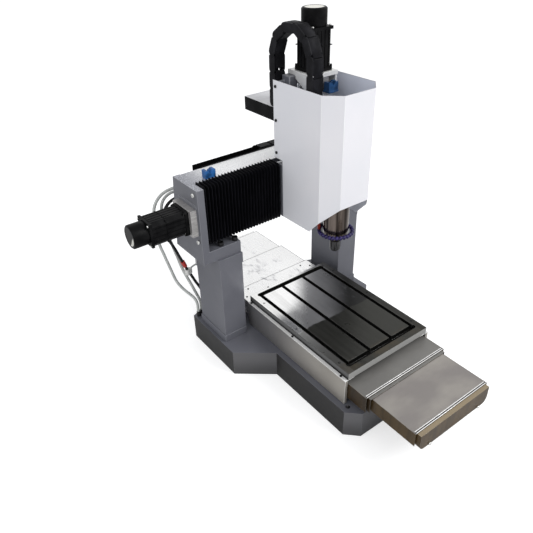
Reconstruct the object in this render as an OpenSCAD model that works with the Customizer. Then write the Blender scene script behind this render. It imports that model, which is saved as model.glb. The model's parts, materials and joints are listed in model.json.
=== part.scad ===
// Bridge-type engraving machine: hollow cast base, two columns and a gantry beam,
// a T-slot table that slides front to back under telescopic sheet covers, an X carriage
// behind bellows, and a covered Z head that carries a water-cooled spindle.
// X is to the right, Y to the back, Z up. The origin is on the floor, under the middle
// of the base. Every part is drawn where it stands at rest.

/* [Base] */
// Width of the base between its long sides
base_w = 390; // [384:2:404]
// Length of the base, front to back
base_l = 800; // [780:10:860]
// Height of the base
base_h = 94; // [84:1:104]
// Cut across each corner of the base
base_corner = 37; // [24:1:50]
// Wall of the hollow castings
cast_wall = 16; // [12:1:20]
// Overall width over the wings under the columns
wing_w = 610; // [600:2:640]
// Length of the straight outer side of a wing
wing_l = 250; // [220:5:280]
// Anchor holes in from the long sides of the base
anchor_side = 23; // [15:1:29]
// Anchor holes in from the ends of the base
anchor_end = 46; // [40:1:60]
// Diameter of an anchor hole
anchor_d = 14; // [10:1:18]

/* [Columns] */
// Clear width between the two columns
column_gap = 416; // [412:2:424]
// Width of a column
column_w = 82; // [76:1:88]
// Depth of a column, front to back
column_d = 150; // [140:2:160]
// Front face of the columns
column_y = 106; // [96:2:116]
// Height of a column, with its cap
column_h = 318; // [300:2:340]
// Height of the cap on a column
cap_h = 36; // [28:1:44]
// Overhang of the cap over the inner side
cap_lip = 3.5; // [1:0.5:6]
// Height of the foot flange of a column
foot_flange_h = 25; // [18:1:34]

/* [Beam] */
// Overall width of the gantry beam
beam_w = 678; // [670:2:700]
// Thickness of a beam end plate
beam_end_t = 23; // [19:1:28]
// Height of the beam, from the columns to its top
beam_h = 245; // [240:1:256]
// Height of the bolted foot of the beam
beam_foot_h = 39; // [32:1:46]
// Depth of the beam body behind its rails
beam_d = 84; // [78:2:92]
// Set-back of the rail face behind the front of the end plates
beam_setback = 50; // [49:0.5:53]
// Slope of the rear edge of the end plates, at the foot
beam_rear_slope = 30; // [10:2:40]

/* [Table] */
// Width of the table plate
table_w = 330; // [326:1:336]
// Length of the table plate
table_l = 478; // [474:2:520]
// Thickness of the table plate
table_t = 23; // [21:0.5:28]
// Pitch of the four T-slots
slot_pitch = 90; // [84:1:94]
// Width of a T-slot at the top
slot_w = 12; // [8:0.5:14]
// Width of a T-slot below its lips
slot_head_w = 20; // [17:0.5:24]
// Thickness of the lips of a T-slot
slot_lip = 9; // [7:0.5:10]
// Height of the wide part of a T-slot
slot_head_h = 8; // [6:0.5:9]
// Width of the cross gutters
gutter_w = 18; // [14:1:22]
// Front edge of the table to the middle of the front gutter
gutter_front = 30; // [24:1:40]
// Rear edge of the table to the middle of the rear gutter
gutter_rear = 18; // [16:1:30]
// Middle of the table, front to back, at rest
table_y = -102; // [-104:1:-100]
// Height of the saddle casting under the table
saddle_h = 61; // [58:1:66]
// Length of the saddle casting
saddle_l = 200; // [190:2:202]
// Sides of the saddle casting in from the sides of the table
saddle_in = 35; // [31:1:40]

/* [Covers] */
// Thickness of the sheet covers
sheet_t = 1.5; // [1:0.1:1.6]
// Side skirts out from the sides of the table
skirt_out = 10.5; // [9:0.5:12]
// Outer cover sections in from the sides of the table
cover_in = 1; // [0.5:0.5:2.5]
// Top of the outer cover sections
cover_z = 171; // [170:0.5:172.5]
// Lead of the front middle section over the outer one, at rest
front_mid_step = 9; // [7:1:12]
// Lead of the rear middle section over the outer one, at rest
rear_mid_step = 146; // [142:1:148]
// Step from one cover section down to the next
cover_step = 2.4; // [2.1:0.1:2.6]
// Step from one cover section in to the next, on each side
cover_side_step = 7.2; // [6:0.2:7.6]
// Height of the side walls of the outer sections
cover_wall_h = 55; // [50:1:58]
// Reach of the front outer section, from the front of the table
front_outer_reach = 73; // [70:1:76]
// Reach of the rear outer section, from the rear of the table
rear_outer_reach = 97; // [94:1:100]
// Front edge of the fixed front cover, ahead of the middle of the base
front_cover_y = 577; // [575:1:585]
// Rear edge of the fixed rear cover, behind the middle of the base
rear_cover_y = 539; // [535:1:545]
// Length of the fixed front cover
front_fixed_l = 262; // [259:1:264]
// Length of the fixed rear cover
rear_fixed_l = 228; // [226:1:236]
// Length of the front middle section
front_mid_l = 160; // [157:1:164]
// Length of the rear middle section
rear_mid_l = 216; // [212:1:222]

/* [Drives] */
// Width of a guide rail
rail_w = 20; // [18:1:20]
// Height of a guide rail
rail_h = 17.5; // [16:0.5:18]
// Width of a guide block
block_w = 44; // [40:1:48]
// Length of a guide block
block_l = 77; // [70:1:80]
// Height from the foot of the rail to the top of the block
guide_h = 30; // [29:0.5:31]
// Diameter of the ball screws
screw_d = 16; // [14:1:16]
// Size of the square motor flanges
motor_size = 80; // [76:1:82]
// Length of the horizontal motors without their caps
motor_l = 121; // [116:1:124]
// Diameter of the round motor caps
motor_cap_d = 71; // [64:1:72]
// Length of the round motor caps
motor_cap_l = 47; // [42:1:50]

/* [Head] */
// Middle of the head, left to right, at rest
head_x = 57; // [47:1:67]
// Width of the head cover
head_w = 198; // [198:1:204]
// Front face of the head cover
head_y = -104; // [-108:1:-100]
// Cut across the front corners of the head cover
head_chamfer = 43.6; // [36:0.2:50]
// Top of the head cover
head_top = 902; // [900:1:905]
// Height of the side panels of the head cover
head_h = 421; // [416:1:424]
// Rise of the front panel above the lower edge of the sides
head_front_rise = 92; // [84:1:96]
// Thickness of the head cover sheet
head_t = 2; // [1.5:0.1:2.2]
// Axis of the spindle, front to back
spindle_y = -31; // [-32:0.5:-30]
// Diameter of the spindle body
spindle_d = 80; // [76:1:82]
// Lower end of the spindle body
spindle_z = 448; // [446:1:456]
// Length of the spindle body
spindle_l = 225; // [220:1:240]
// Diameter of the collet nut
nut_d = 34; // [30:1:35]
// Diameter of the tool bore in the collet
tool_d = 6; // [3:1:8]
// Diameter of the coolant ring, at the middle of its hose
ring_d = 104; // [100:1:106]

/* [Bellows and chains] */
// Number of pleats in the left bellows
pleats = 25; // [16:1:30]
// Depth of a pleat
pleat_depth = 13; // [8:0.5:13]
// Inner width of a chain link
chain_inner_w = 30; // [26:1:30]
// Height of a chain link
chain_h = 25; // [22:1:25]
// Pitch of a chain link
chain_pitch = 47; // [42:1:50]

/* [Hidden] */
$fn = 64;
eps = 0.01;
fit_gap = 0.05;          // radial running clearance of a shaft in its bore
seat_gap = 0.3;          // clearance where two bodies pass each other
iron = [0.40, 0.41, 0.45];
dark_steel = [0.27, 0.27, 0.27];
steel = [0.62, 0.62, 0.62];
cover_steel = [0.55, 0.53, 0.50];
bright = [0.80, 0.80, 0.80];
motor_black = [0.07, 0.07, 0.08];
rubber_black = [0.05, 0.05, 0.06];
white_paint = [0.93, 0.92, 0.95];
switch_blue = [0.13, 0.36, 0.65];

// Drives
journal_r = screw_d / 2 * 0.75;
coupling_d = 32;
coupling_l = 37;
coupling_hole_d = coupling_d + 8;
coupling_gap = 3;        // between a coupling and its motor
coupling_grip = 16;      // depth of a screw's journal in its coupling
bearing_t = 25;
tail_bearing_t = 20;
motor_plate_t = 20;
z_motor_plate_t = 12;
shaft_l = 12;

// Base and columns
base_top = base_h;
wing_y0 = column_y - 60;
wing_y1 = wing_y0 + wing_l;
wing_run = (wing_w - base_w) / 2 * 0.82;
wing_back_run = (wing_w - base_w) / 2 * 0.40;
column_x = column_gap / 2;
column_top = base_top + column_h;
column_y1 = column_y + column_d;

// Beam
skirt_w = table_w + 2 * skirt_out;
cover_w = table_w - 2 * cover_in;
saddle_w = table_w - 2 * saddle_in;
anchor_x = base_w / 2 - anchor_side;
anchor_y = base_l / 2 - anchor_end;
beam_z = column_top;
beam_top = beam_z + beam_h;
beam_x = beam_w / 2;
beam_in_x = beam_x - beam_end_t;
beam_front = column_y + 8;
beam_face = beam_front + beam_setback;
beam_back = beam_face + beam_d;
beam_body_z = beam_z + 58;
foot_in_x = column_x - cap_lip;

// X guides and drive
x_rail_z = [beam_body_z + 35, beam_top - 30];
x_drive_z = beam_z + 144;
x_drive_y = beam_face + 9;
x_slot_h = 56;
carriage_back = beam_face - guide_h;
carriage_t = 26;
carriage_front = carriage_back - carriage_t;

// Y guides and drive
y_rail_x = 105;
saddle_z = base_top + guide_h;
saddle_top = saddle_z + saddle_h;
saddle_y0 = table_y - saddle_l / 2;
saddle_y1 = table_y + saddle_l / 2;
y_drive_z = base_top + 26;
table_top = saddle_top + table_t;
table_y0 = table_y - table_l / 2;
table_y1 = table_y + table_l / 2;
slots = 4;

// Head
z_drive_y = carriage_front - 20;
column2_w = 140;
column2_back = carriage_back + 8;
column2_top = head_top + 10;
column2_z = beam_top + 11;
saddle_x_z0 = beam_body_z + 8;
guide2_h = 28;
rail2_w = 15;
rail2_h = 15;
block2_w = 34;
block2_l = 61;
slide_back = carriage_front - guide2_h;
slide_t = 20;
slide_front = slide_back - slide_t;
slide_w = 110;
slide_z0 = 520;
slide_z1 = 850;
clamp_z0 = spindle_z + 122;
clamp_h = 90;
clamp_w = 100;
head_x0 = head_x - head_w / 2;
head_x1 = head_x + head_w / 2;
head_bottom = head_top - head_h;
head_back_low = carriage_front;
head_back_high = column2_back + 5;
bracket_y1 = column2_back + 155;
bracket_z0 = 781;
bracket_z1 = 822;

// Z chain: its loop stands over the left side of the head
chain_wall = 4;
chain_w = chain_inner_w + 2 * chain_wall;
chain_play = 0.3;        // gap between the hollow end of a link and the link before it
chain_bend = 46;         // side of a link's hollow end, above its pitch line
chain_x0 = head_x0 + head_t + 2;
chain_back_y = column2_back + 1.5 + chain_h;
chain_front_y = -19;
chain_loop_y = (chain_back_y + chain_front_y) / 2;
chain_loop_r = (chain_back_y - chain_front_y) / 2 - chain_h / 2;
chain_loop_z = 965;
chain_front_z = 757;

// X chain: it lies in the tray behind the beam and loops up to the head's bracket
tray_z = beam_top - 26;
tray_t = 2;
x_chain_y = beam_back + 6;
x_chain_w = 38;
x_chain_r = (bracket_z0 - seat_gap - tray_z - tray_t - chain_h) / 2;
x_chain_loop_x = 236;

// ---- Shapes that several parts share ----

// A box given by its two corners
module box(a, b) { translate(a) cube(b - a); }

// Both sides of the machine
module both_sides() { for (s = [0, 1]) mirror([s, 0, 0]) children(); }

// A socket-head cap screw, its seat at z = 0 and its head upwards
module cap_screw(d, shank) {
    difference() {
        union() {
            cylinder(d = 1.5 * d, h = d);
            translate([0, 0, -shank]) cylinder(d = d, h = shank);
        }
        translate([0, 0, d * 0.45]) cylinder(d = d * 0.95, h = d, $fn = 6);
    }
}

// A profile guide rail along Y, its foot at z = 0
module rail(l, w = rail_w, h = rail_h) {
    waist = w * 0.36;
    rotate([90, 0, 0]) linear_extrude(l, center = true) polygon([
        [-w / 2, 0], [w / 2, 0], [w / 2, h * 0.30], [waist, h * 0.42], [waist, h * 0.62],
        [w / 2, h * 0.74], [w / 2, h - 1], [w / 2 - 1, h], [1 - w / 2, h], [-w / 2, h - 1],
        [-w / 2, h * 0.74], [-waist, h * 0.62], [-waist, h * 0.42], [-w / 2, h * 0.30]]);
}

// A guide block along Y that straddles a rail with its foot at z = 0
module guide_block(w = block_w, l = block_l, h = guide_h, rw = rail_w, rh = rail_h) {
    rotate([90, 0, 0]) linear_extrude(l, center = true) difference() {
        polygon([[-w / 2 + 3, rh * 0.28], [w / 2 - 3, rh * 0.28], [w / 2, rh * 0.28 + 3],
            [w / 2, h], [-w / 2, h], [-w / 2, rh * 0.28 + 3]]);
        translate([-rw / 2 - 0.5, 0]) square([rw + 1, rh + 0.5]);
    }
}

// Plan of a servo motor's ribbed body: a square with cut corners and long grooves
module motor_section(s) {
    c = s * 0.16;
    difference() {
        polygon([for (q = [0 : 3]) for (p = [[s / 2, c - s / 2], [s / 2, s / 2 - c]])
            [p[0] * cos(90 * q) - p[1] * sin(90 * q), p[0] * sin(90 * q) + p[1] * cos(90 * q)]]);
        for (q = [0 : 3]) rotate(90 * q) for (k = [-1.5 : 1 : 1.5])
            translate([s / 2 - 1.6, k * s * 0.17 - 1.4]) square([4, 2.8]);
    }
}

// A servo motor on its flange at z = 0, its body upwards
module motor(l, cap_l) {
    flange_t = 10;
    seam = 2;
    body = l - flange_t;
    difference() {
        union() {
            linear_extrude(flange_t) difference() {
                square(motor_size, center = true);
                for (a = [45 : 90 : 315]) rotate(a) translate([motor_size * 0.71, 0])
                    square(motor_size * 0.12, center = true);
            }
            translate([0, 0, flange_t]) linear_extrude(body * 0.55 - seam) motor_section(motor_size * 0.95);
            translate([0, 0, flange_t + body * 0.55 - seam]) linear_extrude(seam)
                square(motor_size * 0.90, center = true);
            translate([0, 0, flange_t + body * 0.55]) linear_extrude(body * 0.45 - 8) motor_section(motor_size * 0.95);
            translate([0, 0, l - 8]) linear_extrude(8) square(motor_size * 0.93, center = true);
            translate([0, 0, l]) rotate_extrude() polygon([[0, 0], [motor_cap_d / 2 - 2, 0],
                [motor_cap_d / 2, 4], [motor_cap_d / 2, cap_l - 3], [motor_cap_d / 2 - 3, cap_l],
                [0, cap_l]]);
        }
        // clearance for the shaft, which turns with its coupling
        translate([0, 0, -eps]) cylinder(r = 7 + 2 * fit_gap, h = 12);
    }
    for (q = [0 : 3]) rotate(45 + 90 * q) translate([motor_size * 0.60, 0, flange_t - 1])
        cylinder(d = 8, h = 6);
}

// A ball screw along Z from 0 to l, its ends turned down over the lengths j0 and j1
module ball_screw(l, j0, j1) {
    r = screw_d / 2;
    rotate_extrude() polygon([[0, 0], [journal_r - 0.8, 0], [journal_r, 0.8], [journal_r, j0],
        [r, j0], [r, l - j1], [journal_r, l - j1], [journal_r, l - 0.8], [journal_r - 0.8, l],
        [0, l]]);
}

// A bearing block for a screw journal: foot at z = 0, axis along Y at height h
module bearing_block(w, t, h, top) {
    difference() {
        rotate([90, 0, 0]) linear_extrude(t, center = true) polygon([[-w / 2, 0], [w / 2, 0],
            [w / 2, h * 0.55], [w * 0.32, h * 0.75], [w * 0.32, top - 4], [w * 0.32 - 4, top],
            [4 - w * 0.32, top], [-w * 0.32, top - 4], [-w * 0.32, h * 0.75], [-w / 2, h * 0.55]]);
        translate([0, 0, h]) rotate([90, 0, 0])
            cylinder(r = journal_r + fit_gap, h = t + 2, center = true);
    }
}

// A clamp coupling along Z from 0 to l: bores for a screw journal and for the motor's shaft,
// which it carries
module coupling(l, shaft_l) {
    difference() {
        cylinder(d = 32, h = l);
        translate([0, 0, -1]) cylinder(r = journal_r + fit_gap, h = l / 2 + 1);
        for (z = [0.25, 0.5, 0.75]) translate([0, 0, l * z]) rotate_extrude()
            translate([13, -1]) square([4, 2]);
    }
    translate([0, 0, l]) cylinder(r = 7, h = shaft_l);
}

// One link of a drag chain about its pitch line: it runs along +X from its first pivot at 0,
// its outside is +Z, and its width is along Y. Its first end is hollowed out round the last
// end of the link before it, and leaves room for the bend at the pivot.
module chain_link(w) {
    t = chain_wall;
    r = chain_h / 2;
    for (y = [0, w - t]) translate([0, y + t, 0]) rotate([90, 0, 0]) linear_extrude(t) {
        difference() {
            polygon([[0, 0], [r * 1.05 / tan(chain_bend), r], [chain_pitch, r],
                [chain_pitch, -r], [r * 1.05 / tan(chain_bend), -r]]);
            circle(r = r + chain_play);
        }
        translate([chain_pitch, 0]) circle(r = r - 0.2);
    }
    for (z = [r - 2.5, -r]) translate([chain_pitch * 0.36, t - eps, z])
        cube([chain_pitch * 0.44, w - 2 * t + 2 * eps, 2.5]);
}

// A folded channel with its open side down, along Y from y0 to y1
module channel(half_w, top, wall_h, y0, y1, t) {
    translate([0, y1, 0]) rotate([90, 0, 0]) linear_extrude(y1 - y0) difference() {
        translate([-half_w, top - wall_h]) square([2 * half_w, wall_h]);
        translate([t - half_w, top - wall_h - 1]) square([2 * (half_w - t), wall_h + 1 - t]);
    }
}

// ---- Fixed frame ----

// Half of the base's outline in plan, drawn inwards by inset
module base_half_plan(inset = 0) {
    w = base_w / 2 - inset;
    l = base_l / 2 - inset;
    ww = wing_w / 2 - inset;
    polygon([[0, -l], [w - base_corner, -l], [w, base_corner - l], [w, wing_y0 - wing_run],
        [ww, wing_y0 + inset], [ww, wing_y1 - inset], [w, wing_y1 + wing_back_run],
        [w, l - base_corner], [w - base_corner, l], [0, l]]);
}

module base_casting() {
    rows = 6;
    row_l = (base_l - 4 * base_corner) / rows;
    bay_w = (base_w - cast_wall) / 4;
    wing_x = (base_w + cast_wall) / 2;
    roof = 20;
    color(iron) difference() {
        both_sides() linear_extrude(base_h) base_half_plan();
        // pockets between the ribs, open to the floor
        both_sides() for (i = [0 : rows - 1]) for (k = [0, 1])
            translate([k * bay_w + cast_wall / 2, (i - rows / 2) * row_l + cast_wall / 2, -1])
                cube([bay_w - cast_wall, row_l - cast_wall, base_h - roof + 1]);
        both_sides() for (y = [wing_y0 + cast_wall, (wing_y0 + wing_y1 + cast_wall) / 2])
            translate([wing_x, y, -1])
                cube([wing_w / 2 - cast_wall - wing_x, (wing_l - 3 * cast_wall) / 2, base_h - roof + 1]);
        for (x = [-anchor_x, anchor_x]) for (y = [-anchor_y, anchor_y])
            translate([x, y, -1]) cylinder(d = anchor_d, h = base_h + 2);
    }
}

// A column with its foot flange and cap, on the right of the machine
module column() {
    color(iron) difference() {
        union() {
            box([column_x, column_y, base_top], [column_x + column_w, column_y1, column_top]);
            box([column_x - cap_lip, column_y, column_top - cap_h],
                [column_x + column_w + 2, column_y1, column_top]);
            box([column_x, column_y - 3, base_top],
                [column_x + column_w + 3, column_y1 + 3, base_top + foot_flange_h]);
        }
        // the core, closed by the base and by the cap
        box([column_x + cast_wall, column_y + cast_wall, base_top - 1],
            [column_x + column_w - cast_wall, column_y1 - cast_wall, column_top - cap_h]);
        beam_bolt_places() translate([0, 0, -bolt_reach - 2])
            cylinder(r = bolt_d / 2 + fit_gap, h = bolt_reach + 3);
    }
}
module right_column() { column(); }
module left_column() { mirror([1, 0, 0]) column(); }

// Bolts from the beam's feet down into the columns
bolt_d = 12;
bolt_reach = 24;
module beam_bolt_places() {
    for (x = [column_x + 8, column_x + column_w - 22])
        for (y = [column_y + 22, column_y + 62])
            translate([x, y, beam_z]) children();
}
module beam_bolts() {
    color(motor_black) both_sides() beam_bolt_places()
        translate([0, 0, beam_foot_h]) cap_screw(bolt_d, beam_foot_h + bolt_reach);
}

// One end of the beam: the slanted end plate, its foot and the pedestal under the body
module beam_end() {
    translate([beam_in_x, 0, 0]) rotate([90, 0, 90]) linear_extrude(beam_end_t) polygon([
        [beam_front, beam_z], [beam_back + 3 + beam_rear_slope, beam_z],
        [beam_back + 3, beam_top], [beam_front, beam_top]]);
    box([foot_in_x, beam_front, beam_z], [beam_in_x + eps, column_y1, beam_z + beam_foot_h]);
    box([foot_in_x, beam_face + 22, beam_z + beam_foot_h - eps],
        [beam_in_x + eps, beam_back, beam_body_z + eps]);
}

module gantry_beam() {
    windows = 3;
    window_w = 130;
    color(iron) difference() {
        union() {
            both_sides() beam_end();
            box([-beam_in_x - eps, beam_face, beam_body_z], [beam_in_x + eps, beam_back, beam_top]);
            // boss on the left end, under the motor plate
            box([-beam_x - 3, beam_front + 8, x_drive_z - motor_size / 2 - 8],
                [-beam_x + 1, x_drive_y + motor_size / 2 + 12, x_drive_z + motor_size / 2 + 12]);
        }
        // the slot that holds the screw, open to the front
        box([-beam_in_x, beam_face - 1, x_drive_z - x_slot_h / 2],
            [beam_in_x, beam_face + 36, x_drive_z + x_slot_h / 2]);
        // the core, open to the back through windows
        for (i = [0 : windows - 1]) translate([(i - (windows - 1) / 2) * 190, 0, 0])
            box([-window_w / 2, beam_back - 32, beam_body_z + cast_wall],
                [window_w / 2, beam_back + 1, tray_z - 22]);
        translate([-beam_x - 4, x_drive_y, x_drive_z]) rotate([0, 90, 0])
            cylinder(d = coupling_hole_d, h = beam_end_t + 5);
        both_sides() beam_bolt_places() translate([0, 0, -1])
            cylinder(r = bolt_d / 2 + fit_gap, h = beam_foot_h + 2);
    }
}

module y_rails() {
    color(steel) both_sides() translate([y_rail_x, 0, base_top]) rail(base_l - 70);
}

module x_rails() {
    color(steel) for (z = x_rail_z) translate([0, beam_face, z])
        rotate([90, 0, 0]) rotate(90) rail(2 * beam_in_x - 6);
}

// Bearings at both ends of the Y screw
y_bearing_y = base_l / 2 - 43;
module y_bearing_blocks() {
    color(motor_black) {
        translate([0, -y_bearing_y, base_top])
            bearing_block(60, bearing_t, y_drive_z - base_top, y_drive_z - base_top + 17);
        translate([0, y_bearing_y, base_top])
            bearing_block(60, tail_bearing_t, y_drive_z - base_top, y_drive_z - base_top + 17);
    }
}

// Bearings at both ends of the X screw, in the beam's slot
module x_bearing_housings() {
    color(motor_black) for (s = [-1, 1]) {
        t = s < 0 ? bearing_t : tail_bearing_t;
        difference() {
            translate([s * (beam_in_x - t / 2), x_drive_y + 4, x_drive_z])
                cube([t, 46, x_slot_h - 2 * seat_gap], center = true);
            translate([s * (beam_in_x - t / 2), x_drive_y, x_drive_z]) rotate([0, 90, 0])
                cylinder(r = journal_r + fit_gap, h = t + 2, center = true);
        }
    }
}

// Plate that carries the Y motor ahead of the base
y_motor_y = -base_l / 2 - motor_plate_t * 0.6;
module y_motor_plate() {
    color(bright) difference() {
        box([-45, y_motor_y, y_drive_z - 70], [45, -base_l / 2, y_drive_z + 42]);
        translate([0, y_motor_y - 1, y_drive_z]) rotate([-90, 0, 0])
            cylinder(d = coupling_hole_d, h = motor_plate_t + 2);
        for (x = [-34, 34]) for (z = [-60, -40]) translate([x, y_motor_y - 1, y_drive_z + z])
            rotate([-90, 0, 0]) cylinder(d = 9, h = motor_plate_t + 2);
    }
}
module y_motor() {
    color(motor_black) translate([0, y_motor_y, y_drive_z]) rotate([90, 0, 0])
        motor(motor_l - 16, motor_cap_l - 5);
}

// Plate that carries the X motor on the left end of the beam
x_motor_x = -beam_x - 3 - motor_plate_t;
module x_motor_plate() {
    color(bright) difference() {
        box([x_motor_x, x_drive_y - 52, x_drive_z - 42], [x_motor_x + motor_plate_t, x_drive_y + 51, x_drive_z + 42]);
        translate([x_motor_x - 1, x_drive_y, x_drive_z]) rotate([0, 90, 0])
            cylinder(d = coupling_hole_d, h = motor_plate_t + 2);
    }
}
module x_motor() {
    color(motor_black) translate([x_motor_x, x_drive_y, x_drive_z]) rotate([0, -90, 0])
        motor(motor_l, motor_cap_l);
}

// ---- Telescopic covers ----
// Level 0 is the outer section on the table, 1 the middle one, 2 the fixed one.

function cover_top(level) = cover_z - level * cover_step;
function cover_half_w(level) = cover_w / 2 - level * cover_side_step;

// A section from y0 to y1, with a small lip along its free edge at the side s
module cover_section(level, y0, y1, s) {
    hw = cover_half_w(level);
    lip = cover_step - sheet_t - seat_gap;
    color(cover_steel) {
        channel(hw, cover_top(level), cover_wall_h - 5 * level, y0, y1, sheet_t);
        // the lip is folded down inside, over the next section
        if (level < 2) translate([0, s < 0 ? y0 : y1 - 2, 0])
            box([4 - hw, 0, cover_top(level) - sheet_t - lip], [hw - 4, 2, cover_top(level) - sheet_t + eps]);
    }
}

front_outer_y = table_y0 - front_outer_reach;
rear_outer_y = table_y1 + rear_outer_reach;
front_mid_y = front_outer_y - front_mid_step;
rear_mid_y = rear_outer_y + rear_mid_step;

// The outer sections are hung on the saddle by an upturned edge
module cover_tie(y0) {
    color(cover_steel) box([5 - saddle_w / 2, y0, cover_z - sheet_t],
        [saddle_w / 2 - 5, y0 + sheet_t, saddle_top - 2]);
}
module front_cover_outer() {
    cover_section(0, front_outer_y, saddle_y0, -1);
    cover_tie(saddle_y0 - sheet_t);
}
module rear_cover_outer() {
    cover_section(0, saddle_y1, rear_outer_y, 1);
    cover_tie(saddle_y1);
}
module front_cover_middle() { cover_section(1, front_mid_y, front_mid_y + front_mid_l, -1); }
module rear_cover_middle() { cover_section(1, rear_mid_y - rear_mid_l, rear_mid_y, 1); }

// Angle feet that carry a fixed section on the base, from y0 to y1
module cover_feet(y0, y1) {
    x1 = cover_half_w(2) - sheet_t + eps;
    color(cover_steel) both_sides() {
        box([x1 - 2, y0, base_top], [x1, y1, cover_top(2) - sheet_t + eps]);
        box([x1 - 22, y0, base_top], [x1, y1, base_top + 2]);
    }
}
module front_cover_fixed() {
    cover_section(2, -front_cover_y, front_fixed_l - front_cover_y, -1);
    cover_feet(5 - base_l / 2, 55 - base_l / 2);
}
module rear_cover_fixed() {
    cover_section(2, rear_cover_y - rear_fixed_l, rear_cover_y, 1);
    cover_feet(base_l / 2 - 55, base_l / 2 - 5);
}

// A folded end plate behind y = 0, with round lower corners
end_plate_out = 13;
module end_plate() {
    hw = cover_half_w(2) - sheet_t - 5;
    z1 = cover_top(2) - sheet_t;
    z0 = cover_top(2) - cover_wall_h - 4;
    r = 22;
    color(cover_steel) rotate([90, 0, 180]) difference() {
        linear_extrude(30) end_plate_outline(hw, z0, z1, r);
        translate([0, 0, -sheet_t]) linear_extrude(30)
            end_plate_outline(hw - sheet_t, z0 - 3 * sheet_t, z1 - sheet_t, r);
    }
}
module end_plate_outline(hw, z0, z1, r) {
    translate([-hw, z0 + r]) square([2 * hw, z1 - z0 - r]);
    translate([r - hw, z0]) square([2 * (hw - r), z1 - z0]);
    for (s = [-1, 1]) translate([s * (hw - r), z0 + r]) circle(r);
}
module front_end_plate() {
    translate([0, -front_cover_y - end_plate_out, 0]) mirror([0, 1, 0]) translate([0, -30, 0]) end_plate();
}
module rear_end_plate() { translate([0, rear_cover_y + end_plate_out - 30, 0]) end_plate(); }

// ---- Table ----

// The four T-slots and both gutters, cut down from the top of the plate
module table_slots() {
    y0 = table_y0 + gutter_front;
    y1 = table_y1 - gutter_rear;
    depth = slot_lip + slot_head_h;
    for (i = [0 : slots - 1]) translate([(i - (slots - 1) / 2) * slot_pitch, y1, table_top])
        rotate([90, 0, 0]) linear_extrude(y1 - y0) polygon([[-slot_w / 2, 1], [slot_w / 2, 1],
            [slot_w / 2, -slot_lip], [slot_head_w / 2, -slot_lip], [slot_head_w / 2, -depth],
            [-slot_head_w / 2, -depth], [-slot_head_w / 2, -slot_lip], [-slot_w / 2, -slot_lip]]);
    reach = table_w / 2 - gutter_w / 2 - 12;
    for (y = [y0, y1]) translate([0, y, table_top - depth]) linear_extrude(depth + 1) {
        square([2 * (reach - gutter_w / 2), gutter_w], center = true);
        for (s = [-1, 1]) translate([s * (reach - gutter_w / 2), 0]) circle(d = gutter_w);
    }
}
module table_plate() {
    color(dark_steel) difference() {
        box([-table_w / 2, table_y0, saddle_top], [table_w / 2, table_y1, table_top]);
        table_slots();
    }
}

// Saddle casting, with a channel over the screw and open ribs at the sides
saddle_channel_w = 84;
saddle_channel_z = y_drive_z + 21;
module table_saddle() {
    color(iron) difference() {
        box([-saddle_w / 2, saddle_y0, saddle_z], [saddle_w / 2, saddle_y1, saddle_top]);
        box([-saddle_channel_w / 2, saddle_y0 - 1, saddle_z - 1],
            [saddle_channel_w / 2, saddle_y1 + 1, saddle_channel_z]);
    }
}
module y_guide_blocks() {
    color(steel) both_sides() for (y = [saddle_y0 + block_l / 2 + 2, saddle_y1 - block_l / 2 - 2])
        translate([y_rail_x, y, base_top]) guide_block();
}

// Ball nut in its housing: a block along Y, its screw at the origin, its seat at z = seat
module nut_housing(w, l, seat, below) {
    difference() {
        union() {
            box([-w / 2, -l / 2, -below], [w / 2, l / 2, seat]);
            rotate([-90, 0, 0]) translate([0, 0, l / 2 - eps]) cylinder(d = screw_d + 12, h = 14);
        }
        rotate([90, 0, 0]) cylinder(r = screw_d / 2 + fit_gap, h = 2 * l, center = true);
    }
}
module y_nut_housing() {
    color(steel) translate([0, table_y, y_drive_z])
        nut_housing(52, 40, saddle_channel_z - y_drive_z, 18);
}

// Side skirt of the table: a folded sheet under the edge of the plate
module skirt() {
    x1 = skirt_w / 2;
    z0 = base_top + 2;
    color(cover_steel) {
        box([x1 - sheet_t, table_y0, z0], [x1, table_y1, saddle_top]);
        box([table_w / 2 - 25, table_y0, saddle_top - sheet_t], [x1, table_y1, saddle_top]);
        for (y = [table_y0, table_y1 - sheet_t])
            box([cover_w / 2 + 2, y, z0], [x1, y + sheet_t, saddle_top - sheet_t + eps]);
    }
}
module right_skirt() { skirt(); }
module left_skirt() { mirror([1, 0, 0]) skirt(); }

// ---- Behind the beam ----

// Two lugs, across +Y, that carry the first pivot of a drag chain at the height drop above
// the foot they stand on
module chain_lugs(drop) {
    for (y = [0, chain_w - chain_wall]) translate([0, y, drop]) {
        translate([0, chain_wall, 0]) rotate([90, 0, 0]) cylinder(r = chain_h / 2 - 0.2, h = chain_wall);
        box([-8, 0, -drop - eps], [8, chain_wall, 0]);
    }
}
module x_chain_tray() {
    x0 = 70 - beam_in_x;
    x1 = beam_in_x;
    color(motor_black) {
        difference() {
            box([x0, beam_back, tray_z], [x1, beam_back + 50, beam_top + 2]);
            box([x0 - 1, beam_back + tray_t, tray_z + tray_t], [x1 + 1, beam_back + 50 - tray_t, beam_top + 3]);
            box([x0 - 1, beam_back + 10, tray_z + 20], [x1 + 1, beam_back + 51, beam_top + 3]);
        }
        translate([x_chain_loop_x - x_chain_l0, x_chain_y, tray_z + tray_t]) chain_lugs(chain_h / 2);
    }
}

// The pitch line of a drag chain, as [x, z] at the length t from its start: a run of l0
// along +X, an arc of radius r that turns up and back, and a run back
function chain_at(t, l0, r) = let (a = (t - l0) / (PI * r) * 180)
    t < l0 ? [t, 0] : a < 180 ? [l0 + r * sin(a), r - r * cos(a)]
    : [l0 - (t - l0 - PI * r), 2 * r];

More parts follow.
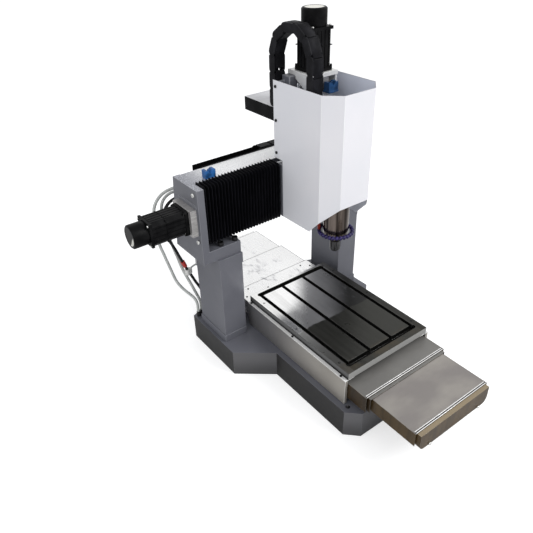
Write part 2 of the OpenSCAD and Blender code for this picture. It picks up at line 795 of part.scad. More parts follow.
// The length at which the next pivot lies one pitch away from the pivot at t, by halving
function next_pivot(t, l0, r, lo = 0.9, hi = 1.2, steps = 22) = let (mid = (lo + hi) / 2)
    steps == 0 ? t + mid * chain_pitch
    : norm(chain_at(t + mid * chain_pitch, l0, r) - chain_at(t, l0, r)) > chain_pitch
        ? next_pivot(t, l0, r, lo, mid, steps - 1) : next_pivot(t, l0, r, mid, hi, steps - 1);

function pivots(n, l0, r, t = 0) = n < 0 ? []
    : [t, each pivots(n - 1, l0, r, next_pivot(t, l0, r))];

// How far along +X the last pivot lies
function chain_end(n, l0, r) = let (t = pivots(n, l0, r)) chain_at(t[n], l0, r)[0];

// A drag chain of n links from the origin: its outside is -Z on the first run, and its
// width is along -Y
module chain_run(n, l0, r) {
    p = [for (t = pivots(n, l0, r)) chain_at(t, l0, r)];
    for (i = [0 : n - 1]) let (d = p[i + 1] - p[i])
        translate([p[i][0], 0, p[i][1]]) rotate([0, -atan2(d[1], d[0]), 0])
            rotate([180, 0, 0]) chain_link(chain_w);
}
x_chain_links = 12;
x_chain_top_l = x_chain_loop_x - head_x1 + 40;
x_chain_l0 = x_chain_links * chain_pitch - PI * x_chain_r - x_chain_top_l;
x_chain_end = x_chain_loop_x - x_chain_l0 + chain_end(x_chain_links, x_chain_l0, x_chain_r);
module x_chain() {
    color(rubber_black)
        translate([x_chain_loop_x - x_chain_l0, x_chain_y + chain_w, tray_z + tray_t + chain_h / 2])
        chain_run(x_chain_links, x_chain_l0, x_chain_r);
}

// A limit switch: a block with a roller in a notch on its top
module limit_switch(w, d, h) {
    color(switch_blue) difference() {
        box([-w / 2, -d / 2, 0], [w / 2, d / 2, h]);
        translate([0, d / 2 + 1, h]) rotate([90, 0, 0]) linear_extrude(d + 2)
            polygon([[-w * 0.28, 1], [w * 0.28, 1], [0, -h * 0.42]]);
    }
    color(bright) translate([0, 0, h * 0.86]) rotate([90, 0, 0]) cylinder(d = h * 0.34, h = d * 0.3, center = true);
}
module beam_limit_switch() {
    translate([-beam_in_x + 58, beam_face + 14, beam_top]) limit_switch(34, 22, 24);
}

// ---- Bellows ----

bellows_z0 = beam_z + 62;
bellows_wall = 3.4;

// Fold offsets of a bellows from x0 to x1: valleys at both ends
function folds(x0, x1) = [for (i = [0 : 2 * pleats])
    [x0 + (x1 - x0) * i / (2 * pleats), i % 2 == 0 ? pleat_depth : 0]];

// The space inside the folds, drawn inwards by inset, up to y1 at the back and reaching
// past both ends by reach
module bellows_space(x0, x1, inset, y1, reach = 0) {
    f = [if (reach > 0) [x0 - reach, pleat_depth], each folds(x0, x1),
        if (reach > 0) [x1 + reach, pleat_depth]];
    n = len(f) - 1;
    intersection() {
        translate([0, 0, bellows_z0 - 1]) linear_extrude(beam_top - bellows_z0 + 2)
            polygon([[x0 - reach, y1], each [for (p = f) [p[0], beam_front + p[1] + inset]],
                [x1 + reach, y1]]);
        translate([0, y1, 0]) rotate([90, 0, 0]) linear_extrude(y1 - beam_front + 1)
            polygon([each [for (p = f) [p[0], bellows_z0 + p[1] + inset]],
                each [for (i = [0 : n]) [f[n - i][0], beam_top - f[n - i][1] - inset]]]);
    }
}
module bellows(x0, x1) {
    y1 = beam_face - 1;
    color(rubber_black) difference() {
        bellows_space(x0, x1, 0, y1);
        bellows_space(x0, x1, bellows_wall, y1 + 1, 1);
    }
}
module bellows_left() { bellows(-beam_in_x, head_x0 - seat_gap); }
module bellows_right() { bellows(head_x1 + seat_gap, beam_in_x); }

// ---- X carriage and head ----

// Casting that runs on the X rails and carries the Z rails
module head_saddle() {
    x0 = head_x0 + head_t;
    x1 = head_x1 - head_t;
    c0 = head_x - column2_w / 2;
    c1 = head_x + column2_w / 2;
    color(iron) difference() {
        union() {
            box([x0, carriage_front, saddle_x_z0], [x1, carriage_back, beam_top - 2]);
            box([c0, carriage_front, saddle_x_z0 + 10], [c1, column2_back, column2_top]);
            box([x0, column2_back - 10, column2_z], [x1, column2_back, head_top - 4]);
        }
        // relief behind the column, below the top of the beam
        box([c0 - 1, carriage_back, saddle_x_z0], [c1 + 1, column2_back + 1, beam_top + 6]);
    }
}
module x_guide_blocks() {
    d = head_w / 2 - block_l / 2 - 5;
    color(steel) for (x = [head_x - d, head_x + d]) for (z = x_rail_z)
        translate([x, beam_face, z]) rotate([90, 0, 0]) rotate(90) guide_block();
}
module x_nut_housing() {
    color(steel) translate([head_x, x_drive_y, x_drive_z]) rotate([90, 0, 0]) rotate(90)
        nut_housing(40, 40, x_drive_y - carriage_back, 20);
}

z_rail_x = slide_w / 2 - block2_w / 2;
z_rail_z0 = saddle_x_z0 + 7;
z_rail_z1 = head_top - 12;
module z_rails() {
    color(steel) for (s = [-1, 1]) translate([head_x + s * z_rail_x, carriage_front, (z_rail_z0 + z_rail_z1) / 2])
        rotate([90, 0, 0]) rail(z_rail_z1 - z_rail_z0, rail2_w, rail2_h);
}

// Bearings of the Z screw: the upper block also shields the coupling
z_top_bearing_z = head_top - 40;
z_low_bearing_z = saddle_x_z0 + 10;
module z_bearing_blocks() {
    color(bright) {
        difference() {
            box([head_x - 25, z_drive_y - 38, z_top_bearing_z], [head_x + 25, carriage_front, column2_top]);
            translate([head_x, z_drive_y, z_top_bearing_z - 1]) cylinder(r = journal_r + fit_gap, h = 60);
            translate([head_x, z_drive_y, z_top_bearing_z + 18]) cylinder(d = coupling_d + 4, h = 60);
        }
        difference() {
            box([head_x - 20, z_drive_y - 18, z_low_bearing_z],
                [head_x + 20, carriage_front, z_low_bearing_z + tail_bearing_t]);
            translate([head_x, z_drive_y, z_low_bearing_z - 1]) cylinder(r = journal_r + fit_gap, h = 30);
        }
    }
}

// Plate on top of the head casting, with a cheek on each side
z_motor_z = column2_top + z_motor_plate_t;
module z_motor_mount() {
    w = 98;
    y0 = z_drive_y - 49;
    color(bright) {
        difference() {
            box([head_x - w / 2, y0, column2_top], [head_x + w / 2, column2_back, z_motor_z]);
            translate([head_x, z_drive_y, column2_top - 1]) cylinder(d = coupling_hole_d, h = 20);
        }
        for (x = [head_x - w / 2, head_x + w / 2 - 6]) translate([x, 0, 0]) rotate([90, 0, 90])
            linear_extrude(6) polygon([[y0 + 4, column2_top + eps], [carriage_front, column2_top + eps],
                [carriage_front, column2_top - 8], [y0 + 10, column2_top - 46], [y0 + 4, column2_top - 46]]);
    }
}
module z_motor() {
    color(motor_black) translate([head_x, z_drive_y, z_motor_z]) motor(motor_l - 6, motor_cap_l);
}

// Plan of the head cover, drawn inwards by inset; open at the back
module head_cover_plan(inset) {
    c = inset * (sqrt(2) - 1);
    x0 = head_x0 + inset;
    x1 = head_x1 - inset;
    y0 = head_y + inset;
    y1 = head_back_high + (inset > 0 ? 1 : 0);
    yc = head_y + head_chamfer + c;
    polygon([[x0, y1], [x0, yc], [head_x0 + head_chamfer + c, y0],
        [head_x1 - head_chamfer - c, y0], [x1, yc], [x1, y1]]);
}
head_slant_y = spindle_y + 12.5;
module head_cover() {
    color(white_paint) difference() {
        translate([0, 0, head_bottom]) linear_extrude(head_h) difference() {
            head_cover_plan(0);
            head_cover_plan(head_t);
        }
        // the sides end in front of the bellows, below the top of the beam
        box([head_x0 - 1, head_back_low, head_bottom - 1],
            [head_x1 + 1, head_back_high + 1, column2_z + 2]);
        // the lower edge rises to the front
        translate([head_x0 - 1, 0, 0]) rotate([90, 0, 90]) linear_extrude(head_w + 2) polygon([
            [head_slant_y, head_bottom], [head_y - 1, head_bottom + head_front_rise + 1],
            [head_y - 1, head_bottom - 1], [head_slant_y, head_bottom - 1]]);
    }
}

// Folded box behind the head that holds the ends of both chains
module chain_bracket() {
    color(motor_black) difference() {
        box([head_x0 + head_t, column2_back, bracket_z0], [head_x1 - head_t, bracket_y1, bracket_z1]);
        box([head_x0 + head_t + 2, column2_back + 2, bracket_z0 - 1],
            [head_x1 - head_t - 2, bracket_y1 - 2, bracket_z1 - 2]);
    }
    // the tongue that holds the last link of the X chain
    color(motor_black) box([x_chain_end - 8, x_chain_y, bracket_z0],
        [x_chain_end + 8, x_chain_y + chain_w, bracket_z1 - 1]);
}

module head_limit_switch() {
    y1 = z_drive_y - 38;
    color(motor_black) box([head_x + 4, y1 - 26, z_top_bearing_z + 6], [head_x + 40, y1, z_top_bearing_z + 11]);
    translate([head_x + 22, y1 - 14, z_top_bearing_z + 11]) limit_switch(34, 22, 24);
}

z_chain_links = 13;
z_chain_back_z = bracket_z1 + chain_h / 2;
z_chain_front_l = z_chain_links * chain_pitch - PI * chain_loop_r - chain_loop_z + z_chain_back_z;
z_chain_front_z = z_chain_back_z - chain_end(z_chain_links, z_chain_front_l, chain_loop_r);
module z_chain() {
    color(rubber_black)
        translate([chain_x0 + chain_w, chain_front_y + chain_h / 2, z_chain_front_z])
        rotate([0, 0, 90]) rotate([0, -90, 0]) rotate([180, 0, 0])
        chain_run(z_chain_links, z_chain_front_l, chain_loop_r);
}

// ---- Z slide and spindle ----

z_nut_z = 710;
module slide_plate() {
    color(dark_steel) difference() {
        box([head_x - slide_w / 2, slide_front, slide_z0], [head_x + slide_w / 2, slide_back, slide_z1]);
        // channel that clears the nut, and the lower bearing over the whole stroke
        box([head_x - 20.5, slide_back - 10.3, slide_z0 - 1], [head_x + 20.5, slide_back + 1, z_nut_z + 36]);
    }
}
module z_guide_blocks() {
    for (z = [slide_z1 - block2_l / 2 - 8, slide_z0 + block2_l / 2 + 114])
        color(steel) for (s = [-1, 1]) translate([head_x + s * z_rail_x, carriage_front, z])
            rotate([90, 0, 0]) guide_block(block2_w, block2_l, guide2_h, rail2_w, rail2_h);
}
module z_nut_housing() {
    color(steel) translate([head_x, z_drive_y, z_nut_z]) rotate([90, 0, 0])
        nut_housing(40, 40, z_drive_y - slide_back + 10, 18);
}
module spindle_clamp() {
    r = spindle_d / 2 + fit_gap;
    y0 = spindle_y - spindle_d / 2 - 12;
    color(steel) difference() {
        box([head_x - clamp_w / 2, y0, clamp_z0], [head_x + clamp_w / 2, slide_front, clamp_z0 + clamp_h]);
        translate([head_x, spindle_y, clamp_z0 - 1]) cylinder(r = r, h = clamp_h + 2, $fn = 96);
        box([head_x - 1.5, y0 - 1, clamp_z0 - 1], [head_x + 1.5, spindle_y, clamp_z0 + clamp_h + 1]);
        // lightening slot between the bore and the slide
        box([head_x - 26, slide_front - 40, clamp_z0 - 1], [head_x + 26, slide_front - 14, clamp_z0 + clamp_h + 1]);
    }
}
shaft_d = 28;
module spindle_body() {
    r = spindle_d / 2;
    top = spindle_z + spindle_l;
    color(steel) {
        difference() {
            translate([head_x, spindle_y, 0]) rotate_extrude($fn = 96) polygon([[0, spindle_z],
                [r - 8, spindle_z], [r - 8, spindle_z + 4], [r - 1.5, spindle_z + 4],
                [r, spindle_z + 5.5], [r, top - 2], [r - 2, top], [0, top]]);
            translate([head_x, spindle_y, spindle_z - 1]) cylinder(r = shaft_d / 2 + fit_gap, h = 62);
        }
        // water fittings and the plug
        for (x = [-18, 18]) translate([head_x + x, spindle_y - 14, top - eps]) cylinder(d = 9, h = 18);
        translate([head_x, spindle_y + 14, top - eps]) cylinder(d = 22, h = 20);
    }
}

// Beaded coolant hose around the nose, with its riser to the clamp
module coolant_ring() {
    r = ring_d / 2;
    beads = 28;
    z = spindle_z + 8;
    riser = 145;
    color([0.16, 0.12, 0.36]) translate([head_x, spindle_y, z])
        for (i = [0 : beads - 1]) rotate(i * 360 / beads) translate([r, 0, 0]) sphere(d = 13.4);
    color([0.80, 0.20, 0.10]) translate([head_x + r * cos(riser), spindle_y + r * sin(riser), z])
        cylinder(d = 10, h = clamp_z0 - z);
}

// Bracket from the slide to the front end of the Z chain
module chain_arm() {
    x1 = head_x - slide_w / 2 + 18;
    z1 = z_chain_front_z - chain_h / 2;
    color(motor_black) {
        box([chain_x0, chain_front_y, z1 - 5], [x1, slide_front, z1]);
        box([head_x - slide_w / 2, slide_front - 6, z1 - 40], [x1, slide_front, z1]);
        translate([chain_x0 + chain_w, chain_front_y + chain_h / 2, z1]) rotate(90) chain_lugs(chain_h / 2);
    }
}

nut_z = spindle_z - 62;
module spindle_shaft() {
    color(bright) translate([head_x, spindle_y, 0]) difference() {
        rotate_extrude() polygon([[0, nut_z + 14], [12.5, nut_z + 14], [12.5, nut_z + 37],
            [shaft_d / 2, nut_z + 39], [shaft_d / 2, spindle_z + 60], [0, spindle_z + 60]]);
        translate([0, 0, nut_z + 13]) cylinder(r = 8 + fit_gap, h = 30);
    }
}
module collet_nut() {
    r = nut_d / 2;
    color(motor_black) translate([head_x, spindle_y, 0]) difference() {
        rotate_extrude() polygon([[9, nut_z], [r - 5, nut_z], [r - 1.5, nut_z + 3], [r, nut_z + 7],
            [r, nut_z + 36], [12.5 + fit_gap, nut_z + 36], [12.5 + fit_gap, nut_z + 13], [9, nut_z + 13]]);
        for (a = [0 : 60 : 300]) rotate(a) translate([r - 1.6, -2.5, nut_z + 12]) cube([4, 5, 30]);
    }
}
module collet() {
    color(bright) translate([head_x, spindle_y, 0]) difference() {
        translate([0, 0, nut_z - 1]) cylinder(r = 8, h = 36);
        translate([0, 0, nut_z - 2]) cylinder(d = tool_d, h = 38);
    }
}

// ---- Screws and couplings ----

// Each coupling stands off its motor's face by this much, and the screw ends inside it
coupling_off = coupling_gap + coupling_l;
screw_off = coupling_off - coupling_grip;
module x_screw() {
    x0 = x_motor_x + screw_off;
    color(bright) translate([x0, x_drive_y, x_drive_z]) rotate([0, 90, 0])
        ball_screw(beam_in_x - x0 - 4, bearing_t - beam_in_x - x0, tail_bearing_t);
}
module y_screw() {
    y0 = y_motor_y + screw_off;
    y1 = y_bearing_y + tail_bearing_t / 2;
    color(bright) translate([0, y0, y_drive_z]) rotate([-90, 0, 0])
        ball_screw(y1 - y0, bearing_t / 2 - y_bearing_y - y0, tail_bearing_t);
}
module z_screw() {
    z0 = z_low_bearing_z + 1;
    z1 = z_motor_z - screw_off;
    color(bright) translate([head_x, z_drive_y, z0])
        ball_screw(z1 - z0, tail_bearing_t, z1 - z_top_bearing_z + 1);
}
module x_coupling() {
    color(steel) translate([x_motor_x + coupling_off, x_drive_y, x_drive_z]) rotate([0, -90, 0])
        coupling(coupling_l, shaft_l);
}
module y_coupling() {
    color(steel) translate([0, y_motor_y + coupling_off, y_drive_z]) rotate([90, 0, 0])
        coupling(coupling_l, shaft_l);
}
module z_coupling() {
    color(steel) translate([head_x, z_drive_y, z_motor_z - coupling_off])
        coupling(coupling_l, shaft_l);
}

// ---- Hoses and cables of the X drive ----

function unit(v) = v / norm(v);

// A tube of diameter d along the points of p, from a face that it leaves along start
// down to a level face
module tube(p, d, start, sides = 8) {
    n = len(p);
    rings = [for (i = [0 : n - 1]) let (
            t = i == 0 ? start : i == n - 1 ? [0, 0, -1] : unit(p[i + 1] - p[i - 1]),
            u = unit(cross(t, [0.31, 0.95, 0.05])),
            v = cross(t, u))
        for (k = [0 : sides - 1]) p[i] + d / 2 * (cos(360 * k / sides) * u + sin(360 * k / sides) * v)];
    polyhedron(rings, [[for (k = [0 : sides - 1]) k],
        for (i = [0 : n - 2]) for (k = [0 : sides - 1]) let (a = i * sides, b = (k + 1) % sides)
            [a + k, a + sides + k, a + sides + b, a + b],
        [for (k = [0 : sides - 1]) n * sides - 1 - k]]);
}
// Points up at the beam, and points down at the wing of the base
function at_beam(p) = [for (q = p) q + [-beam_x, beam_back, beam_top]];
function at_foot(p) = [for (q = p) q + [-wing_w / 2, wing_y1, base_top]];

// Two water hoses, the cable conduit and the thin oil pipe that leaves its junction
hose_d = 10;
oil_pipe_d = 6;
outer_hose = concat(at_beam([
        [75, 0, -63], [74, 25, -64], [63, 47, -66], [43, 62, -68], [19, 66, -70], [-6, 66, -75],
        [-27, 66, -88], [-42, 66, -108], [-49, 65, -132], [-49, 65, -157], [-49, 65, -183],
        [-49, 64, -208], [-48, 64, -233], [-44, 64, -258], [-38, 63, -282], [-32, 63, -307],
        [-26, 63, -331], [-20, 63, -355], [-14, 62, -380], [-7, 61, -404], [3, 58, -426],
        [16, 53, -448], [30, 48, -468]]),
    at_foot([[9, -6, 74], [15, -9, 50], [15, -10, 25], [15, -12, 0]]));
inner_hose = concat(at_beam([
        [77, 0, -81], [77, 25, -82], [76, 50, -84], [64, 71, -86], [42, 82, -90], [18, 83, -93],
        [-3, 83, -107], [-13, 83, -129], [-14, 83, -154], [-14, 83, -179], [-12, 83, -203],
        [-7, 82, -228], [-1, 81, -252], [5, 80, -276], [10, 79, -300], [16, 78, -324],
        [21, 77, -349], [27, 76, -373], [33, 72, -396], [40, 66, -420], [47, 61, -443],
        [53, 55, -466]]),
    at_foot([[26, 2, 73], [31, -3, 50], [31, -5, 25], [31, -7, 0]]));
conduit = concat(at_beam([
        [77, 0, -101], [71, 24, -101], [55, 42, -100], [32, 51, -98], [11, 51, -100],
        [-10, 51, -114], [-22, 51, -135], [-23, 51, -160], [-23, 51, -185], [-22, 51, -210],
        [-17, 51, -234], [-8, 50, -257], [1, 50, -280], [9, 49, -304], [18, 49, -327],
        [26, 49, -350], [35, 48, -374], [45, 46, -397], [54, 44, -420], [64, 42, -442],
        [74, 40, -465]]),
    at_foot([[47, -10, 74], [49, -12, 50], [49, -13, 25], [49, -15, 0]]));
oil_pipe = concat(at_beam([
        [42, 57, -374], [66, 61, -368], [85, 63, -370], [102, 66, -379], [117, 69, -392],
        [127, 71, -408], [133, 72, -427], [137, 74, -446], [142, 75, -466]]),
    at_foot([[113, 28, 78], [117, 30, 59], [119, 31, 39], [120, 31, 20], [121, 32, 0]]));
junction = at_beam([[35, 48, -374]])[0];
module beam_hoses() {
    color([0.75, 0.75, 0.72]) {
        for (r = [outer_hose, inner_hose, conduit]) tube(r, hose_d, [0, 1, 0]);
        tube(oil_pipe, oil_pipe_d, [1, 0, 0]);
        translate(junction) rotate([0, 0, 25]) cube([24, 16, 20], center = true);
    }
}

base_casting();
left_column();
right_column();
gantry_beam();
beam_bolts();
y_rails();
x_rails();
y_bearing_blocks();
x_bearing_housings();
y_motor_plate();
y_motor();
x_motor_plate();
x_motor();
front_cover_fixed();
front_end_plate();
rear_cover_fixed();
rear_end_plate();
x_chain_tray();
x_chain();
beam_limit_switch();
bellows_left();
bellows_right();
beam_hoses();
table_plate();
table_saddle();
y_guide_blocks();
y_nut_housing();
left_skirt();
right_skirt();
front_cover_outer();
rear_cover_outer();
front_cover_middle();
rear_cover_middle();
head_saddle();
x_guide_blocks();
x_nut_housing();
z_rails();
z_bearing_blocks();
z_motor_mount();
z_motor();
head_cover();
chain_bracket();
head_limit_switch();
z_chain();
slide_plate();
z_guide_blocks();
z_nut_housing();
spindle_clamp();
spindle_body();
coolant_ring();
chain_arm();
spindle_shaft();
collet_nut();
collet();
x_screw();
y_screw();
z_screw();
x_coupling();
y_coupling();
z_coupling();
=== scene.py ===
"""The looks of a bridge engraving machine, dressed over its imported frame."""
import json
import math
from functools import partialmethod

import bmesh
import bpy
from mathutils import Matrix, Vector

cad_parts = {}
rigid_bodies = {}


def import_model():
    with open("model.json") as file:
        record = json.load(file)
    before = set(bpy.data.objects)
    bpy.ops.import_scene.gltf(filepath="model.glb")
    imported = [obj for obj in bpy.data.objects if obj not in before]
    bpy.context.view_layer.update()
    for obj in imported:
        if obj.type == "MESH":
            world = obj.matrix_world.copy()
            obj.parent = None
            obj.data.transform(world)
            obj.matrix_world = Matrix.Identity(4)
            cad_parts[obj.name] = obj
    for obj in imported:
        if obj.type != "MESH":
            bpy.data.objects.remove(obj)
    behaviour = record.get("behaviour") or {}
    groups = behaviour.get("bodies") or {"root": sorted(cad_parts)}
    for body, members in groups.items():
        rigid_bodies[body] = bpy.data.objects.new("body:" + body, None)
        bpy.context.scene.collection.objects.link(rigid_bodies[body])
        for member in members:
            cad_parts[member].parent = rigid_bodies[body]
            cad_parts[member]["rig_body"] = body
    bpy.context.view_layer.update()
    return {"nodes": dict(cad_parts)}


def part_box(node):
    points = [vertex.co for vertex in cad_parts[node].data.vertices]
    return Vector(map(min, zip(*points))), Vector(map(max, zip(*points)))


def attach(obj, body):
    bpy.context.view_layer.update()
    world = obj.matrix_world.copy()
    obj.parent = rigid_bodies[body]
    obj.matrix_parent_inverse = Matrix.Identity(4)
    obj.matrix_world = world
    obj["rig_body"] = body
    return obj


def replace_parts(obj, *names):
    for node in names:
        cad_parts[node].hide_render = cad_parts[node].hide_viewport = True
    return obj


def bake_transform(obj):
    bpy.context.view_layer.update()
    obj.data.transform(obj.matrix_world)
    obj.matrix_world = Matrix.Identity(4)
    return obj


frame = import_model()

# ---- Camera and studio ----
# The lens looks down from the front left corner, 1.3 m above the floor. The machine stands
# on a plain pale floor under two soft lamps.

camera_azimuth = -35.62
camera_elevation = 33.43
camera_roll = -1.94
camera_distance = 2.1319
camera_lens = 37.95
look_at = Vector((0.02625, 0.3034, 0.1609))

turn = Matrix.Rotation(math.radians(camera_azimuth), 4, "Z")
tilt = Matrix.Rotation(math.radians(90 - camera_elevation), 4, "X")
roll = Matrix.Rotation(math.radians(camera_roll), 4, "Z")
lens = bpy.data.cameras.new("camera")
lens.lens = camera_lens
lens.sensor_width = 36
lens.clip_end = 60
scene = bpy.context.scene


def placed(name, data):
    """An object in the scene."""
    thing = bpy.data.objects.new(name, data)
    scene.collection.objects.link(thing)
    return thing


scene.camera = placed("camera", lens)
scene.camera.matrix_world = (Matrix.Translation(look_at) @ turn @ tilt @ roll
                             @ Matrix.Translation((0, 0, camera_distance)))
scene.view_settings.view_transform = "Standard"


class Value:
    """A shader socket that sums and products can be written with."""

    def __init__(self, finish, socket):
        self.finish = finish
        self.socket = socket

    def math(self, operation, *others):
        """The result of a sum or another operation."""
        return self.finish.node("ShaderNodeMath", {"operation": operation}, self, *others)

    __add__ = __radd__ = partialmethod(math, "ADD")
    __sub__ = partialmethod(math, "SUBTRACT")
    __mul__ = __rmul__ = partialmethod(math, "MULTIPLY")
    __gt__ = partialmethod(math, "GREATER_THAN")
    __lt__ = partialmethod(math, "LESS_THAN")
    __abs__ = partialmethod(math, "ABSOLUTE")

    def __rsub__(self, other):
        return self.finish.node("ShaderNodeMath", {"operation": "SUBTRACT"}, other, self)

    def between(self, low, high, start=0.0, end=1.0):
        """start below low, end above high, and smooth between them."""
        settings = {"interpolation_type": "SMOOTHSTEP"}
        return self.finish.node("ShaderNodeMapRange", settings, self, low, high, start, end)

    def part(self, axis):
        """One component of a vector."""
        split = self.finish.node("ShaderNodeSeparateXYZ", {}, self)
        return Value(self.finish, split.socket.node.outputs[axis])


class Finish:
    """A Principled material, and the nodes that vary it over a surface."""

    def __init__(self, name, color, rough=0.5, metal=0.0, specular=0.5, **others):
        self.material = bpy.data.materials.new(name)
        self.material.use_nodes = True
        self.tree = self.material.node_tree
        self.shader = self.tree.nodes["Principled BSDF"]
        values = {"Base Color": color, "Roughness": rough, "Metallic": metal, "Specular IOR Level": specular}
        values.update({words.replace("_", " ").title(): value for words, value in others.items()})
        for words, value in values.items():
            self.shader.inputs[words].default_value = (*value, 1) if isinstance(value, tuple) else value

    def node(self, kind, settings, *values, **named):
        """A node's first output, its settings made first and its sockets filled in order."""
        made = self.tree.nodes.new(kind)
        for key, value in settings.items():
            setattr(made, key, value)
        sockets = [s for s in made.inputs if s.enabled]
        pairs = list(zip(sockets, values))
        pairs += [(made.inputs[k.replace("_", " ").title()], v) for k, v in named.items()]
        for socket, value in pairs:
            if isinstance(value, Value):
                self.tree.links.new(value.socket, socket)
            elif value is not None:
                socket.default_value = value
        return Value(self, next(s for s in made.outputs if s.enabled))

    def place(self, stretch=(1, 1, 1)):
        """Object coordinates, stretched along the axes."""
        source = self.tree.nodes.new("ShaderNodeTexCoord")
        here = Value(self, source.outputs["Object"])
        if stretch == (1, 1, 1):
            return here
        return self.node("ShaderNodeMapping", {}, here, scale=stretch)

    def at(self, axis):
        """The point's coordinate along an axis."""
        return self.place().part(axis)

    def facing(self, axis):
        """How far the surface faces along an axis."""
        source = self.tree.nodes.new("ShaderNodeNewGeometry")
        return Value(self, source.outputs["Normal"]).part(axis)

    def noise(self, scale, detail=2.0, stretch=(1, 1, 1), roughness=0.5):
        """Soft noise, about 0.5 on average."""
        return self.node("ShaderNodeTexNoise", {}, vector=self.place(stretch), scale=scale,
                         detail=detail, roughness=roughness)

    def waves(self, direction, scale, distortion=0.0):
        """Even bands along an axis."""
        return self.node("ShaderNodeTexWave", {"bands_direction": direction}, vector=self.place(),
                         scale=scale, distortion=distortion)

    def mix(self, factor, low, high):
        """A colour between two colours, which may be linked."""
        made = self.tree.nodes.new("ShaderNodeMix")
        made.data_type = "RGBA"
        for index, value in ((0, factor), (6, low), (7, high)):
            if isinstance(value, Value):
                self.tree.links.new(value.socket, made.inputs[index])
            else:
                made.inputs[index].default_value = (*value, 1) if index else value
        return Value(self, made.outputs[2])

    def feed(self, name, value):
        """Links a value into a socket of the shader."""
        self.tree.links.new(value.socket, self.shader.inputs[name])
        return self

    def tinted(self, factor, low, high):
        """Colours the surface between two colours."""
        return self.feed("Base Color", self.mix(factor, low, high))

    def roughened(self, scale, detail, spread, least):
        """Varies the roughness with noise."""
        return self.feed("Roughness", self.noise(scale, detail) * spread + least)

    def varied(self, scale, spread, grain=0.0):
        """Clouds the colour and the roughness a little around what they are."""
        cloud = self.noise(scale, 4)
        color = self.shader.inputs["Base Color"].default_value
        rough = self.shader.inputs["Roughness"].default_value
        low = tuple(c * (1 - spread) for c in color[:3])
        high = tuple(min(c * (1 + spread), 1) for c in color[:3])
        self.feed("Base Color", self.mix(cloud.between(0.3, 0.7), low, high))
        self.feed("Roughness", cloud * (0.5 * rough) + 0.75 * rough)
        if grain:
            self.grained(scale * 9, 2, 0.3, grain)
        return self

    def bump(self, height, strength, depth):
        """Fine relief: depth in metres is the height of a full step."""
        return self.feed("Normal", self.node("ShaderNodeBump", {}, strength=strength, distance=depth,
                                             height=height))

    def grained(self, scale, detail, strength, depth):
        """Fine relief from noise."""
        return self.bump(self.noise(scale, detail), strength, depth)


def area_lamp(name, place, target, size, power):
    """A round soft lamp that shines at a target."""
    lamp = bpy.data.lights.new(name, "AREA")
    lamp.shape = "DISK"
    lamp.size = size
    lamp.energy = power
    aim = (Vector(target) - Vector(place)).to_track_quat("-Z", "Y")
    placed(name, lamp).matrix_world = Matrix.Translation(place) @ aim.to_matrix().to_4x4()


area_lamp("key_lamp", (1.6, -2.4, 2.9), (0, 0, 0.4), 1.8, 68)
area_lamp("fill_lamp", (-2.6, -1.0, 2.0), (0, 0, 0.5), 2.2, 20)

world = bpy.data.worlds.new("studio")
scene.world = world
world.use_nodes = True
nodes = world.node_tree.nodes
soft_light = nodes["Background"]
soft_light.inputs["Color"].default_value = (0.97, 0.98, 1.0, 1)
soft_light.inputs["Strength"].default_value = 0.62
backdrop = nodes.new("ShaderNodeBackground")
backdrop.inputs["Color"].default_value = (1, 1, 1, 1)
rays = nodes.new("ShaderNodeLightPath")
seen = nodes.new("ShaderNodeMath")
seen.operation = "MAXIMUM"
choice = nodes.new("ShaderNodeMixShader")
for source, target in ((rays.outputs["Is Camera Ray"], seen.inputs[0]),
                       (rays.outputs["Is Glossy Ray"], seen.inputs[1]),
                       (seen.outputs[0], choice.inputs[0]),
                       (soft_light.outputs[0], choice.inputs[1]),
                       (backdrop.outputs[0], choice.inputs[2]),
                       (choice.outputs[0], nodes["World Output"].inputs["Surface"])):
    world.node_tree.links.new(source, target)

floor_size = 24.0
floor_glow = 0.55
floor_mesh = bpy.data.meshes.new("floor")
bm = bmesh.new()
bmesh.ops.create_grid(bm, x_segments=1, y_segments=1, size=floor_size / 2)
bm.to_mesh(floor_mesh)
bm.free()
floor_finish = Finish("pale floor", (0.82, 0.82, 0.82), rough=0.9, specular=0.1, emission_color=(1, 1, 1))
glow = Value(floor_finish, floor_finish.tree.nodes.new("ShaderNodeLightPath").outputs["Is Camera Ray"])
floor_finish.feed("Emission Strength", glow * floor_glow)
floor_mesh.materials.append(floor_finish.material)
placed("floor", floor_mesh)


# ---- Castings ----
# The base, the columns, the beam and the saddles are grey iron, sand-cast and sprayed with
# a blue-grey machine enamel. The corners are ground round and painted lighter: partly enamel
# worn thin there, partly a painted highlight.

enamel = (0.122, 0.125, 0.146)
enamel_light = (0.15, 0.153, 0.174)
enamel_edge = (0.235, 0.24, 0.262)
casting_corner = 0.0022


def cast_skin(finish):
    """A fine orange peel over the uneven skin of a casting."""
    return finish.bump(finish.noise(520, 3) * 0.25 + finish.noise(38, 3), 0.35, 0.0012)


def painted(name, color, light, rough=0.42):
    """Sprayed enamel on a casting."""
    paint = Finish(name, color, specular=0.4)
    patches = paint.noise(7, 4)
    grains = paint.noise(900, 2)
    paint.tinted(patches.between(0.35, 0.7) * 0.7 + grains * 0.3, color, light)
    paint.feed("Roughness", patches * 0.16 + (rough - 0.08))
    return cast_skin(paint)


casting = painted("casting enamel", enamel, enamel_light)
# the lighter enamel at the corners is partly wear and partly a painted highlight
casting_edge = painted("casting enamel at corners", enamel_edge, enamel_edge, 0.36)


def merged_copy(node):
    """The node's mesh with its triangles joined into flat faces, as a bmesh."""
    bm = bmesh.new()
    bm.from_mesh(frame["nodes"][node].data)
    bmesh.ops.remove_doubles(bm, verts=bm.verts, dist=1e-6)
    bmesh.ops.dissolve_limit(bm, angle_limit=math.radians(0.4), verts=bm.verts, edges=bm.edges)
    return bm


